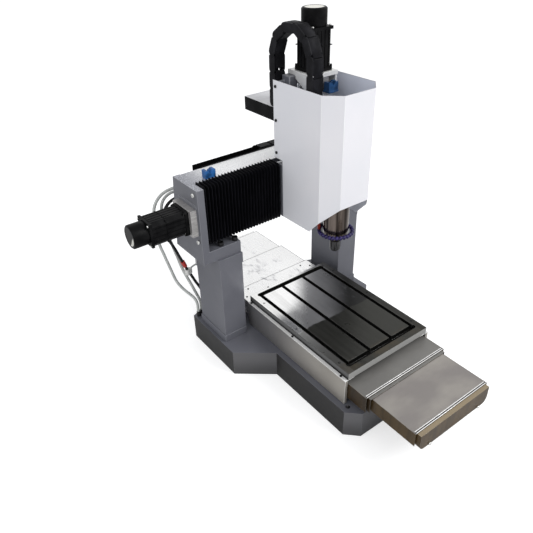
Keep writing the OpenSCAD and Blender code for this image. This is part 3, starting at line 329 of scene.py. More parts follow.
def bevelled(bm, edges, width, segments, material=-1):
    """Bevels some edges and gives the faces that this makes."""
    return bmesh.ops.bevel(bm, geom=edges, offset=width, offset_type="OFFSET", segments=segments,
                           profile=0.5, affect="EDGES", material=material, clamp_overlap=True)["faces"]


def round_corners(bm, width, segments=2, lowest=28, material=-1):
    """Marks curved faces smooth and rounds the sharp edges."""
    sharp = []
    for edge in bm.edges:
        if len(edge.link_faces) != 2:
            continue
        angle = math.degrees(edge.calc_face_angle(0))
        if angle > lowest:
            sharp.append(edge)
        elif angle > 0.5:
            for face in edge.link_faces:
                face.smooth = True
    if width > 0 and sharp:
        for face in bevelled(bm, sharp, width, segments, material):
            face.smooth = True


def loose(name, bm, finishes):
    """Makes a piece from its bmesh and gives it its finishes."""
    mesh = bpy.data.meshes.new(name)
    bm.to_mesh(mesh)
    bm.free()
    for finish in finishes:
        mesh.materials.append(finish.material)
    return placed(name, mesh)


def finished(name, bm, finishes, body):
    """Makes a piece that moves with a body."""
    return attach(loose(name, bm, finishes), body)


body_of = {node: thing["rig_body"] for node, thing in frame["nodes"].items()}


def dressed(nodes, finish, width, edge=None, lowest=28):
    """Rounded copies of the solids of some nodes, named in one string, stand for them."""
    finishes = [finish, edge] if edge else [finish]
    for node in nodes.split():
        bm = merged_copy(node)
        round_corners(bm, width, lowest=lowest, material=1 if edge else -1)
        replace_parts(finished(node + "_shape", bm, finishes, body_of[node]), node)


def coated(node, finish):
    """A node's own solid, with a finish."""
    mesh = frame["nodes"][node].data
    mesh.materials.clear()
    mesh.materials.append(finish.material)


dressed("left_column right_column table_saddle head_saddle", casting, casting_corner, casting_edge)

# The base's flanks that face left are painted nearly black as painted shade, and all the
# flanks are painted darker towards the bottom.
flanks = painted("base enamel", enamel, enamel_light)
steep = flanks.facing("Z").between(0.6, 0.2)
leftward = flanks.facing("X").between(-0.74, -0.92)
bright_side = flanks.shader.inputs["Base Color"].links[0].from_socket
# the flank tone: nearly black where a flank faces left, as painted shade, and darker towards the bottom
oily = flanks.mix(leftward, (0.125, 0.124, 0.13), (0.013, 0.0125, 0.0125))
oily = flanks.mix(flanks.at("Z").between(0.075, 0.01) * 0.45, oily, (0.018, 0.018, 0.018))
flanks.tinted(steep, Value(flanks, bright_side), oily)
dressed("base_casting", flanks, casting_corner, casting_edge)

# The beam's top is milled flat and only thinly sprayed, so it is much brighter.
beam_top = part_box("gantry_beam")[1].z
top_skin = 0.003
milled = Finish("beam enamel and milled top", enamel, rough=0.42)
on_top = (milled.facing("Z") > 0.9) * (milled.at("Z") > beam_top - top_skin)
specks = milled.noise(330, 3, roughness=0.7).between(0.42, 0.6)
sprayed = milled.mix(milled.noise(7, 4).between(0.35, 0.7), enamel, enamel_light)
bare = milled.mix(specks, (0.74, 0.75, 0.77), (1.0, 1.0, 1.0))
worn = milled.mix(specks, (0.19, 0.195, 0.22), (0.5, 0.51, 0.56))
bare = milled.mix(milled.at("X").between(-0.33, -0.2), worn, bare)
milled.tinted(on_top, sprayed, bare).feed("Metallic", on_top * 0.75)
dressed("gantry_beam", cast_skin(milled), casting_corner, casting_edge)


# ---- Bolts of the beam ----
# Socket screws of black oxide steel with rounded rims. Four of them hold each foot of the beam
# down on its column.

black_oxide = Finish("black oxide steel", (0.008, 0.008, 0.009), metal=0.1, specular=0.35)
black_oxide.roughened(260, 3, 0.3, 0.28).grained(900, 2, 0.2, 0.0002)
dressed("beam_bolts", black_oxide, 0.0006)


# ---- Guide rails and blocks ----
# Hardened and ground linear rails, screwed to the base, the beam and the head's casting, and
# the steel blocks that run on them.

ground = Finish("ground guide steel", (0.56, 0.57, 0.59), metal=0.9)
ground_lines = ground.noise(60, 3, (30, 30, 2))
ground.feed("Roughness", ground_lines * 0.18 + 0.16).bump(ground_lines, 0.12, 0.0002)
dressed("y_rails x_rails z_rails y_guide_blocks x_guide_blocks z_guide_blocks", ground, 0.0004)


# ---- Screws, nuts and couplings ----
# Ground ball screws of 16 mm with a 5 mm lead, whose thread is only relief in the finish.
# The nuts sit in steel housings, and grooved couplings join the screws to their motors.

thread_pitch = 0.005
thread_depth = 0.0008


def threaded(node, across, along):
    """Gives a screw ground steel, with a helix round its middle line as relief."""
    low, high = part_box(node)
    steel = Finish(along + " screw steel", (0.6, 0.61, 0.63), rough=0.2, metal=0.95)
    here = steel.node("ShaderNodeMapping", {}, steel.place(), (low + high) / -2)
    turn = here.part(across[1]).math("ARCTAN2", here.part(across[0]))
    phase = here.part(along) * (2 * math.pi / thread_pitch) + turn
    coated(node, steel.bump(phase.math("SINE"), 0.8, thread_depth))


turned = Finish("turned steel", (0.52, 0.53, 0.55), rough=0.28, metal=0.9).grained(300, 2, 0.15, 0.0002)
dressed("y_nut_housing x_nut_housing z_nut_housing", turned, 0.0005)
threaded("x_screw", "YZ", "X")
threaded("y_screw", "XZ", "Y")
threaded("z_screw", "XY", "Z")
anodised = Finish("plain aluminium", (0.66, 0.67, 0.68), rough=0.34, metal=0.8).grained(500, 2, 0.1, 0.0002)
dressed("x_coupling y_coupling z_coupling", anodised, 0.0005)


# ---- Bearing housings ----
# Steel housings with a black oxide finish, which hold the ends of the X and Y screws. They are
# bolted inside the beam and on the base.

dressed("x_bearing_housings y_bearing_blocks", black_oxide, 0.0008)


# ---- Motor plates ----
# Aluminium plates milled on all sides, bolted to the castings. The head's motor stands on a
# brighter mount, and the blocks of the Z screw's bearings are milled too.

milled_plate = Finish("milled aluminium", (0.45, 0.45, 0.46), metal=0.6)
mill_lines = milled_plate.noise(45, 4, (1, 14, 14))
milled_plate.tinted(mill_lines.between(0.3, 0.7), (0.3, 0.29, 0.29), (0.52, 0.51, 0.5))
milled_plate.feed("Roughness", mill_lines * 0.25 + 0.24).bump(mill_lines, 0.15, 0.0002)
dressed("x_motor_plate y_motor_plate z_bearing_blocks", milled_plate, 0.0007)
bright_plate = Finish("bright mount aluminium", (0.8, 0.8, 0.79), rough=0.36, metal=0.3).varied(24, 0.1)
dressed("z_motor_mount", bright_plate, 0.0007)


# ---- Motors ----
# Closed-loop stepper motors: a ribbed black die-cast body on a square flange, with a round
# encoder cap. Bright socket screws hold the flange.

motor_paint = Finish("black motor enamel", (0.0045, 0.0045, 0.005), specular=0.06)
patches = motor_paint.noise(30, 4).between(0.35, 0.7)
motor_paint.tinted(patches, (0.003, 0.003, 0.0034), (0.009, 0.009, 0.0095))
motor_paint.roughened(180, 3, 0.2, 0.3).grained(700, 3, 0.3, 0.0004)
motor_rim = Finish("motor enamel worn at edges", (0.022, 0.022, 0.024), rough=0.3, specular=0.12)
motor_rim.varied(90, 0.5)
dressed("x_motor y_motor z_motor", motor_paint, 0.0007, motor_rim)

zinc = Finish("zinc-plated screw", (0.84, 0.84, 0.82), rough=0.24, metal=0.8).varied(300, 0.12)
axes = x_axis, y_axis, z_axis = Vector((1, 0, 0)), Vector((0, 1, 0)), Vector((0, 0, 1))


def posed(place, way):
    """The matrix that takes a thing made along Z to a place, turned along way."""
    return Matrix.Translation(place) @ z_axis.rotation_difference(Vector(way)).to_matrix().to_4x4()


def drum(bm, flats, radius, tall, matrix, taper=0.0):
    """Adds a closed drum, made along Z and then moved by the matrix, and gives its points."""
    return bmesh.ops.create_cone(bm, cap_ends=True, segments=flats, radius1=radius,
                                 radius2=radius - taper, depth=tall, matrix=matrix)["verts"]


# shares of a socket screw's diameter and height
rim_wide, rim_tall = 0.06, 0.08
land_wide, socket_wide, socket_draft, socket_deep = 0.14, 0.24, 0.004, 0.6


def socket_head(bm, place, axis, diameter, height):
    """Adds the head of a socket screw, its base at place and its top along axis."""
    before = set(bm.verts)
    wall = height * (1 - rim_tall)
    made = drum(bm, 24, diameter / 2, wall, Matrix.Translation((0, 0, wall / 2)))
    faces = {f for v in made for f in v.link_faces}
    top = next(f for f in faces if f.normal.z > 0.9)
    for face in faces:
        face.smooth = abs(face.normal.z) < 0.5
    bmesh.ops.inset_region(bm, faces=[top], thickness=diameter * rim_wide, depth=height * rim_tall)
    bmesh.ops.inset_region(bm, faces=[top], thickness=diameter * land_wide, depth=0)
    flats = diameter * socket_wide
    for vert in top.verts:
        angle = math.atan2(vert.co.y, vert.co.x) % (math.pi / 3) - math.pi / 6
        vert.co.xy = vert.co.xy.normalized() * flats / math.cos(angle)
    bmesh.ops.inset_region(bm, faces=[top], thickness=diameter * socket_draft, depth=-height * socket_deep)
    made = [v for v in bm.verts if v not in before]
    bmesh.ops.transform(bm, matrix=posed(place, axis), verts=made)


def screws(name, places, axis, diameter, height, finish, body):
    """A group of like socket screws, one piece."""
    bm = bmesh.new()
    for place in places:
        socket_head(bm, place, axis, diameter, height)
    finished(name, bm, [finish], body)


def corner_screws(name, middle, way, spread, diameter, body):
    """Four screws round the middle of a square face."""
    side, up = [axis * spread for axis in axes if not axis.dot(way)]
    places = [middle + a * side + b * up for a in (-1, 1) for b in (-1, 1)]
    screws(name, places, way, diameter, motor_screw_height, zinc, body)


def cap_disc(node, middle, end, way, gleam_share):
    """The rim and the plate on a motor's cap, with a painted highlight: the plate is dark up to a line at a
    share of its radius, and bright past it.
    """
    bm = bmesh.new()
    drum(bm, 48, disc_radius, disc_tall, Matrix.Translation((0, 0, disc_tall / 2 - disc_step)), disc_step)
    top = next(f for f in bm.faces if f.normal.z > 0.9)
    bmesh.ops.inset_region(bm, faces=[top], thickness=disc_radius - plate_radius, depth=0)
    bmesh.ops.inset_region(bm, faces=[top], thickness=disc_step, depth=-disc_step)
    top.material_index = 1
    bmesh.ops.transform(bm, matrix=posed(end, way), verts=bm.verts)
    plate = Finish("cap plate of " + node, (0.42, 0.42, 0.4), rough=0.3, specular=0.1)
    # painted highlight: past the line the plate is painted bright and metallic, before it dark
    line = plate_radius * gleam_share
    reach = (middle.y - plate.at("Y")) * 0.8 + (middle.z - plate.at("Z")) * 0.6 * (1 - abs(way.z))
    bright_side = (reach + plate.noise(60, 2) * 0.008).between(line - 0.002, line + 0.003)
    plate.tinted(bright_side, (0.01, 0.01, 0.009), (0.82, 0.81, 0.74)).feed("Metallic", bright_side * 0.85)
    finished(node + "_cap_disc", bm, [motor_rim, plate], body_of[node])


disc_radius = 0.03
disc_tall = 0.0012
disc_step = 0.0004
plate_radius = 0.027
flange_thick = 0.0105
motor_screw_height = 0.0045
# the share sets the line of each cap's painted highlight
for node, way, cap, gleam_share in (("x_motor", (-1, 0, 0), 0.047, 0.7), ("y_motor", (0, -1, 0), 0.042, 0.7),
                               ("z_motor", (0, 0, 1), 0.047, -0.9)):
    low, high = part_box(node)
    middle = (low + high) / 2
    way = Vector(way)
    reach = way * abs((high - low).dot(way)) / 2
    foot, end = middle - reach, middle + reach
    cap_disc(node, middle, end, way, gleam_share)
    corner_screws(node + "_flange_screws", foot + way * flange_thick, way, 0.0305, 0.0085, body_of[node])
    corner_screws(node + "_plate_screws", end - way * cap, way, 0.031, 0.006, body_of[node])


# ---- Screws on the beam's ends ----
# Two zinc-plated screws at each end of the beam, through the end plate. They clamp the end
# frame of the bellows.

beam_end = 0.339
for side, way in (("left", -1), ("right", 1)):
    places = [(way * beam_end, y, z) for y, z in ((0.132, 0.64), (0.129, 0.489))]
    screws("beam_screws_" + side, places, (way, 0, 0), 0.0125, 0.006, zinc, "frame")


# ---- Limit switches ----
# Switches moulded of blue plastic. One is screwed to the beam, and one sits inside the head;
# that one is painted darker, as painted shade.

# the head's switch gets a darker blue, which is painted shade
for node, tone in (("beam_limit_switch", (0.018, 0.105, 0.31)),
                   ("head_limit_switch", (0.01, 0.052, 0.145))):
    moulding = Finish("blue moulding of " + node, tone, rough=0.4, specular=0.3)
    dressed(node, moulding.varied(70, 0.45, 0.0003), 0.0008)


# ---- Cable tray and bracket ----
# Folded steel. The black tray behind the beam carries the X chain, and the small arm joins
# the slide to the Z chain. The bracket reaches back from the head, and its top is pale.

tray_paint = Finish("black powder coat", (0.006, 0.006, 0.0065), specular=0.06)
tray_paint.roughened(140, 3, 0.2, 0.38).grained(1300, 2, 0.4, 0.0003)
dressed("x_chain_tray chain_arm", tray_paint, 0.0004)
bracket = Finish("grey bracket paint", (0.016, 0.016, 0.018), rough=0.45, specular=0.05)
lit = bracket.facing("Z") > 0.8
scuffs = bracket.noise(28, 4).between(0.35, 0.7)
side_tone = bracket.mix(scuffs, (0.004, 0.004, 0.0045), (0.011, 0.011, 0.012))
top_tone = bracket.mix(scuffs, (0.7, 0.7, 0.72), (0.82, 0.82, 0.84))
bracket.tinted(lit, side_tone, top_tone).grained(800, 2, 0.3, 0.0003)
dressed("chain_bracket", bracket, 0.0006)


# ---- Drag chains ----
# Black nylon links that snap together. The X chain loops from the tray to the bracket, and
# the Z chain stands in a loop beside the Z motor.

nylon = Finish("black nylon", (0.008, 0.008, 0.009), specular=0.07)
nylon_grain = nylon.noise(420, 3)
nylon.tinted(nylon.noise(25, 3).between(0.35, 0.7), (0.0065, 0.0065, 0.0078), (0.016, 0.016, 0.019))
nylon.feed("Roughness", nylon_grain * 0.2 + 0.38).bump(nylon_grain, 0.35, 0.0003)
nylon_edge = Finish("nylon at its edges", (0.03, 0.03, 0.034), rough=0.45, specular=0.2).varied(60, 0.4)
nylon_corner = 0.0005


def chain_copy(node):
    """A rounded copy of a chain, which stands in place of the chain's own solid."""
    bm = merged_copy(node)
    round_corners(bm, nylon_corner, 1, 25, 1)
    piece = loose(node + "_shape", bm, [nylon, nylon_edge])
    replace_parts(piece, node)
    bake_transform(piece)


chain_copy("x_chain")
chain_copy("z_chain")

# Snap-on lids close the outer and the inner side of every link. A lid's far end is rounded
# about the pivot, so only a thin slit shows as the links fan open.
link_pitch = 0.047
link_half = 0.0125
link_inner = 0.03
link_wall = 0.004
lid_thick = 0.0018
lid_gap = 0.0002
lid_slit = 0.0014
lid_reach = 0.0006
# shares of a link's length and of its bend, and the least bend that is rounded, in radians
lid_end = 0.06
lid_cover = 0.93
lid_turns = 4
straight = 0.02


def on_loop(length, run, radius):
    """A point of the chain's pitch line: a run along +u, half a turn to +v, and a run back."""
    if length < run:
        return Vector((length, 0))
    angle = (length - run) / radius
    if angle < math.pi:
        return Vector((run + radius * math.sin(angle), radius - radius * math.cos(angle)))
    return Vector((run - (length - run - math.pi * radius), 2 * radius))


def loop_pivots(links, run, radius):
    """The pivots of the links, each one pitch from the last in a straight line."""
    lengths = [0.0]
    for _ in range(links):
        low, high = 0.9 * link_pitch, 1.2 * link_pitch
        start = on_loop(lengths[-1], run, radius)
        for _ in range(24):
            middle = (low + high) / 2
            if (on_loop(lengths[-1] + middle, run, radius) - start).length > link_pitch:
                high = middle
            else:
                low = middle
        lengths.append(lengths[-1] + middle)
    return [on_loop(length, run, radius) for length in lengths]


def lid_lines(pivots):
    """The outer and the inner lid of each link, as lines in the chain's plane."""
    lines = []
    steps = [b - a for a, b in zip(pivots, pivots[1:])]
    for index, (start, step) in enumerate(zip(pivots, steps)):
        way = step.normalized()
        out = Vector((way.y, -way.x))
        after = steps[min(index + 1, len(steps) - 1)]
        fan = after.angle_signed(step, 0.0) if index + 1 < len(steps) else 0.0
        end = start + step
        outer = out * (link_half + lid_gap)
        first = start + way * lid_slit + outer
        angles = [fan * lid_cover * k / lid_turns for k in range(lid_turns + 1)]
        bends = [end + Matrix.Rotation(angle, 2) @ outer for angle in angles]
        lines.append([first, *bends] if fan > straight else [first, end + way * lid_reach + outer])
        lines.append([start + step * lid_end - outer, end - step * lid_end - outer])
    return lines


def wire(bm, places):
    """Adds the points and the edges of a line."""
    spots = [bm.verts.new(place) for place in places]
    return spots, [bm.edges.new(pair) for pair in zip(spots, spots[1:])]


def chain_lids(name, pivots, corner, along, up, across):
    """The lids of a chain as one piece; corner is where the pivots' plane starts."""
    bm = bmesh.new()
    for line in lid_lines(pivots):
        edges = wire(bm, [corner + along * u + up * v for u, v in line])[1]
        made = bmesh.ops.extrude_edge_only(bm, edges=edges)
        moved = [v for v in made["geom"] if isinstance(v, bmesh.types.BMVert)]
        bmesh.ops.translate(bm, vec=across * link_inner, verts=moved)
    bmesh.ops.recalc_face_normals(bm, faces=bm.faces)
    bmesh.ops.solidify(bm, geom=bm.faces[:], thickness=lid_thick)
    round_corners(bm, 0.00035, 1, 40)
    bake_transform(loose(name, bm, [nylon]))


# The Z chain runs up from the slide's arm, over, and down to the bracket.
z_links = 13
z_bend = 0.965
low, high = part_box("z_chain")
z_radius = (high.y - low.y) / 2 - link_half
back_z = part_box("chain_bracket")[1].z + link_half
z_run = z_links * link_pitch - math.pi * z_radius - z_bend + back_z
z_pivots = loop_pivots(z_links, z_run, z_radius)
chain_lids("z_chain_lids", z_pivots,
           Vector((low.x + link_wall, low.y + link_half, back_z - z_pivots[-1].x)),
           z_axis, y_axis, x_axis)

# The X chain lies in the tray, turns up at the right, and runs back to the bracket.
x_links = 12
x_bend = 0.236
x_back_run = 0.12
low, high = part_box("x_chain")
x_radius = (high.z - low.z) / 2 - link_half
x_run = x_links * link_pitch - math.pi * x_radius - x_back_run
chain_lids("x_chain_lids", loop_pivots(x_links, x_run, x_radius),
           Vector((x_bend - x_run, low.y + link_wall, low.z + link_half)),
           x_axis, z_axis, y_axis)


# ---- Bellows ----
# Coated black cloth folded over stiff frames. It hides the rails of the beam, and its ends
# are clamped to the beam's end plates and to the head.

cloth = Finish("coated bellows cloth", (0.004, 0.004, 0.005), specular=0.06)
weave = cloth.waves("Z", 260, 0.4)
dust = cloth.noise(16, 4, (1, 1, 0.5)).between(0.4, 0.75)
cloth.tinted(dust, (0.0042, 0.0042, 0.0058), (0.008, 0.008, 0.0105)).roughened(60, 3, 0.25, 0.36)
cloth.bump(weave * 0.5 + cloth.noise(110, 3), 0.4, 0.0005)
cloth_edge = Finish("bellows cloth at the folds", (0.0055, 0.0055, 0.0075), specular=0.06).varied(40, 0.6)

fold_count = 25
fold_depth = 0.013
fold_proud = 0.0035
cloth_thick = 0.0012
cloth_corner = 0.01
cloth_turns = 4
fold_margin = 0.0006
rail_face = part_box("bellows_left")[1].y


def fold_line(x, depth):
    """A line of the cloth round the rails at x: up from below, over the front and back."""
    low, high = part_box("bellows_left")
    proud = 0 if depth else fold_proud
    front, bottom, top = low.y + depth, low.z + depth, high.z - depth + proud
    turns = [math.pi / 2 * k / cloth_turns for k in range(cloth_turns + 1)]
    arc = [(cloth_corner * (1 - math.sin(turn)), cloth_corner * (1 - math.cos(turn))) for turn in turns]
    lower = [(front + y, bottom + z) for y, z in arc]
    upper = [(front + y, top - z) for y, z in reversed(arc)]
    line = [(rail_face, bottom), *lower, *upper, (rail_face + proud, top)]
    return [Vector((x, y, z)) for y, z in line]


def bellows_cloth(node):
    """The folded cloth of one side: each fold line is drawn out to the next."""
    low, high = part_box(node)
    pitch = (high.x - low.x - 2 * fold_margin) / fold_count
    # a crest and a valley are each two close lines, so the fold has a soft round back
    folds = [(fold + share, depth) for fold in range(fold_count)
             for share, depth in ((0.25, fold_depth), (0.44, 0), (0.56, 0), (0.75, fold_depth))]
    folds[0] = (0, fold_depth)
    folds.append((fold_count, fold_depth))
    lines = [fold_line(low.x + fold_margin + pitch * share, depth) for share, depth in folds]
    bm = bmesh.new()
    spots, edges = wire(bm, lines[0])
    ridges = []
    for index in range(1, len(lines)):
        made = bmesh.ops.extrude_edge_only(bm, edges=edges)["geom"]
        fresh = {v for v in made if isinstance(v, bmesh.types.BMVert)}
        edges = [e for e in made if isinstance(e, bmesh.types.BMEdge) and fresh.issuperset(e.verts)]
        spots = [next(e.other_vert(v) for e in v.link_edges if e.other_vert(v) in fresh) for v in spots]
        for spot, place in zip(spots, lines[index]):
            spot.co = place
        if folds[index - 1][1] == folds[index][1] == 0:
            ridges += [f for v in fresh for f in v.link_faces]
    bmesh.ops.recalc_face_normals(bm, faces=bm.faces)
    for face in set(ridges):
        face.material_index = 1
    bmesh.ops.solidify(bm, geom=bm.faces[:], thickness=cloth_thick)
    piece = loose(node + "_shape", bm, [cloth, cloth_edge])
    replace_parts(piece, node)
    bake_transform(piece)


bellows_cloth("bellows_left")
bellows_cloth("bellows_right")


# ---- Table ----
# Cast iron plate, ground on top and slotted for T-bolts, with a painted reflection on its top.
# Small flush screws along its sides hold it down on the saddle.

table_low, table_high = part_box("table_plate")
table_middle = (table_low + table_high) / 2
table_skin = 0.0015
iron = Finish("ground table iron", (0.05, 0.05, 0.048), specular=0.08)
x, y, z = iron.at("X"), iron.at("Y"), iron.at("Z")
top = z > table_high.z - 0.0005
upward = iron.facing("Z") > 0.5
streaks = iron.noise(8, 5, (7, 0.6, 1), 0.6)
smears = iron.noise(11, 4, (1, 1, 1), 0.65)
patches = iron.noise(26, 3, (1.6, 0.7, 1), 0.6)
# painted reflection: the rear left of the top is painted bright up to a line, and the front dark
painted_reflection_mask = (y + x * 0.03 + (smears - 0.5) * 0.035).between(-0.122, -0.114)
reflection_ramp = y - x * 1.2 + (smears - 0.5) * 0.05
grey = iron.mix(reflection_ramp.between(-0.19, -0.02), (0.026, 0.026, 0.026), (0.3, 0.3, 0.31))
painted_reflection = iron.mix(reflection_ramp.between(0.02, 0.12), grey, (0.97, 0.97, 0.97))
painted_reflection = iron.mix(patches.between(0.6, 0.72) * 0.35, painted_reflection, (0.17, 0.17, 0.18))
# painted reflection: the front of the top is painted dark
dark = iron.mix(streaks.between(0.3, 0.7), (0.034, 0.034, 0.031), (0.056, 0.056, 0.051))
front_dark_reflection = iron.mix((x - y * 0.5).between(0.02, 0.22) * 0.75, dark, (0.055, 0.055, 0.05))
face = iron.mix(painted_reflection_mask, front_dark_reflection, painted_reflection)
# the left border is painted bright towards the rear, as part of the painted reflection
left_border = x.between(-0.141, -0.143) * y.between(-0.3, 0.06, 0.07, 0.75)
face = iron.mix(left_border, face, (0.92, 0.92, 0.91))
face = iron.mix(streaks.between(0.35, 0.75) * 0.14, face, (0.02, 0.02, 0.02))
# dirt gathers along the front border, and the right border is dull
rust = (y - table_low.y).between(0.052, 0.03) * smears.between(0.35, 0.6) * 0.6
face = iron.mix(rust, face, (0.085, 0.07, 0.048))
face = iron.mix(x.between(0.143, 0.146) * 0.6, face, (0.03, 0.03, 0.028))
front = iron.facing("Y").between(-0.5, -0.9)
flank = iron.mix(z.between(0.19, 0.198), (0.02, 0.02, 0.02), (0.13, 0.13, 0.13))
side = iron.mix(front, flank, (0.34, 0.34, 0.33))
inside = abs(x) < table_high.x - table_skin
inside = inside * (abs(y - table_middle.y) < table_high.y - table_middle.y - table_skin)
hollow = iron.mix(smears, (0.0025, 0.0025, 0.0025), (0.007, 0.007, 0.006))
iron.tinted(inside * (1 - top), iron.mix(top * upward, side, face), hollow)
iron.feed("Metallic", top * upward * (painted_reflection_mask * reflection_ramp.between(0.0, 0.125) * 0.35 + 0.6))
iron.feed("Roughness", smears * 0.22 + (1 - top) * 0.3 + reflection_ramp.between(0.0, 0.125) * painted_reflection_mask * -0.16 + 0.2)
iron.bump(iron.noise(60, 4, (14, 0.8, 1)), 0.08, 0.0003)
table_edge = Finish("oily table edges", (0.075, 0.075, 0.072), rough=0.35, metal=0.4).varied(60, 0.5)
dressed("table_plate", iron, 0.0005, table_edge)

screw_black = Finish("black screw", (0.004, 0.004, 0.004), rough=0.5, specular=0.08).varied(400, 0.5)
sunk = 0.0045
spots = [(x, y, table_high.z - sunk) for x in (-0.153, 0.153) for y in (-0.29, -0.096, 0.073)]
screws("table_screws", spots, (0, 0, 1), 0.0075, 0.0048, screw_black, "table")


# ---- Side skirts ----
# Folded steel sheets that hang beside the saddle, a little browner towards the front. Three
# screws through the bright flange on top hold each one to the side of the table.

skirt = Finish("skirt sheet", (0.1, 0.1, 0.1))
warmth = skirt.at("Y").between(0.1, -0.34)
grime = skirt.noise(6, 4).between(0.3, 0.75)
flat = skirt.mix(warmth, (0.175, 0.172, 0.18), (0.4, 0.375, 0.335))
flat = skirt.mix(grime * 0.25, flat, (0.17, 0.155, 0.14))
flat = skirt.mix(skirt.at("Z").between(0.16, 0.1) * 0.35, flat, (0.1, 0.095, 0.09))
flange = skirt.facing("Z") > 0.8
skirt.tinted(flange, flat, skirt.mix(grime, (1.0, 1.0, 1.0), (0.86, 0.85, 0.83)))
skirt.feed("Metallic", (1 - flange) * (grime * 0.1 + 0.2))
skirt.feed("Roughness", grime * 0.15 + 0.33).bump(skirt.noise(160, 3, (1, 0.12, 1)), 0.1, 0.0002)
skirt_edge = Finish("bright sheet edge", (0.85, 0.85, 0.84), rough=0.3, metal=0.3).varied(50, 0.12)
dressed("left_skirt right_skirt", skirt, 0.0006, skirt_edge, lowest=40)
for node, x in (("left_skirt", -0.17), ("right_skirt", 0.17)):
    spots = [(x, y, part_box(node)[1].z) for y in (0.124, -0.096, -0.316)]
    screws(node + "_screws", spots, (0, 0, 1), 0.0075, 0.003, black_oxide, "table")


# ---- Telescopic covers ----
# Bent stainless sheets that slide into each other ahead of and behind the table. A wiper in
# an aluminium strip closes each free edge.

cover_line = Finish("worn cover edge", (0.2, 0.185, 0.165), rough=0.3, metal=0.5).varied(40, 0.5)
seam_line = Finish("shaded cover edge", (0.075, 0.075, 0.08), rough=0.4, specular=0.2).varied(40, 0.4)


def front_covers(nodes, name, top_tone, side_tone, smudge, strength):
    """Brushed stainless sheet with oily smudges, browner on its sides."""
    sheet = Finish(name, top_tone, specular=0.2)
    cloud = sheet.noise(5.5, 3, (1, 1.6, 1), 0.55).between(0.42, 0.72)
    drips = sheet.noise(48, 4, (1, 1, 0.12), 0.6).between(0.35, 0.75)
    brushed = sheet.noise(40, 4, (1, 26, 26))
    upper = sheet.facing("Z") > 0.6
    stained = tuple(0.5 * channel for channel in side_tone)
    tone = sheet.mix(cloud * strength, top_tone, smudge)
    tone = sheet.mix(upper, sheet.mix(drips, side_tone, stained), tone)
    sheet.tinted(brushed * 0.16, tone, (0.05, 0.05, 0.05)).feed("Metallic", upper * 0.32)
    sheet.feed("Roughness", cloud * 0.12 + brushed * 0.1 + 0.26).bump(brushed, 0.05, 0.0002)
    dressed(nodes, sheet, 0.0007, cover_line, lowest=40)


front_covers("front_cover_outer front_cover_middle", "front cover sheet",
             (0.188, 0.183, 0.173), (0.04, 0.024, 0.009), (0.27, 0.265, 0.25), 0.5)
front_covers("front_cover_fixed", "fixed front cover sheet",
             (0.268, 0.248, 0.236), (0.082, 0.052, 0.02), (0.4, 0.375, 0.34), 0.75)
front_covers("front_end_plate", "front end plate",
             (0.33, 0.265, 0.175), (0.08, 0.049, 0.018), (0.24, 0.2, 0.15), 0.4)

# The rear covers are painted near white on top and light grey on their sides, as painted light
# that stands in for a bright reflection. Small smudges and a thin film of water mark them.
bright = Finish("rear cover sheet", (0.97, 0.97, 0.98), metal=0.7)
smear = bright.noise(46, 5, (1.5, 0.55, 1), 0.75).between(0.5, 0.68)
area = bright.noise(9, 2, (1, 0.8, 1)).between(0.5, 0.62)
tone = bright.mix(smear * area * 0.75, (1.0, 1.0, 1.0), (0.34, 0.34, 0.37))
bright.tinted(bright.facing("Z") > 0.6, (0.56, 0.56, 0.57), tone)
bright.feed("Roughness", smear * 0.2 + 0.22).bump(smear, 0.05, 0.0002)
dressed("rear_cover_outer rear_cover_middle rear_cover_fixed rear_end_plate", bright, 0.001, seam_line,
        lowest=40)

cover_step = 0.0024
middle_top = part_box("rear_cover_middle")[1].z
cover_tops = {end + "_cover_" + part: middle_top + level * cover_step
              for level, part in ((1, "outer"), (0, "middle"), (-1, "fixed")) for end in ("front", "rear")}
spots = [(x, y, cover_tops["rear_cover_outer"]) for x, y in (
    (-0.058, 0.18), (0.148, 0.194), (-0.15, 0.18), (-0.12, 0.216), (0.12, 0.216))]
screws("rear_cover_screws", spots, (0, 0, 1), 0.0055, 0.0016, screw_black, "table")
seam_wide = 0.0014
seam_tall = 0.0002
lip_tall = 0.0004


def bar(bm, size, x, y, foot):
    """Adds a straight bar that stands on a height, and gives its faces."""
    made = bmesh.ops.create_cube(bm, size=1)["verts"]
    bmesh.ops.scale(bm, vec=size, verts=made)
    bmesh.ops.translate(bm, vec=(x, y, foot + size[2] / 2), verts=made)
    return {f for v in made for f in v.link_faces}


def seams(node, top):
    """Dark sealing lines along both folds of a cover, and along its free edge if it is a rear one."""
    low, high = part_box(node)
    bm = bmesh.new()
    for x in (low.x + seam_wide / 2, high.x - seam_wide / 2):
        bar(bm, (seam_wide, high.y - low.y, seam_tall), x, (low.y + high.y) / 2, top)
    tone = cover_line
    if node.startswith("rear"):
        bar(bm, (high.x - low.x, seam_wide, seam_tall), 0, high.y - seam_wide / 2, top)
        tone = seam_line
    finished(node + "_seams", bm, [tone], body_of[node])


for node, top in cover_tops.items():
    seams(node, top)

strip_metal = Finish("wiper strip aluminium", (0.97, 0.96, 0.94), rough=0.3, metal=0.6).varied(30, 0.06)
strip_rubber = Finish("wiper lip", (0.03, 0.028, 0.025), rough=0.6, specular=0.2).varied(60, 0.4)


def wiper(node):
    """A rubber lip along the free edge of a cover, held by two thin ridges of aluminium."""
    low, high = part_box(node)
    bm = bmesh.new()
    for start, wide, tall, inset in ((0.0002, 0.0092, lip_tall, 0.003), (0.0006, 0.0022, 0.0012, 0.004),
                                     (0.0064, 0.0024, 0.001, 0.004)):
        size = (high.x - low.x - 2 * inset, wide, tall)
        for face in bar(bm, size, 0, low.y + start + wide / 2, cover_tops[node]):
            face.material_index = int(tall == lip_tall)
    round_corners(bm, 0.00015, 1)
    finished(node + "_wiper", bm, [strip_metal, strip_rubber], body_of[node])


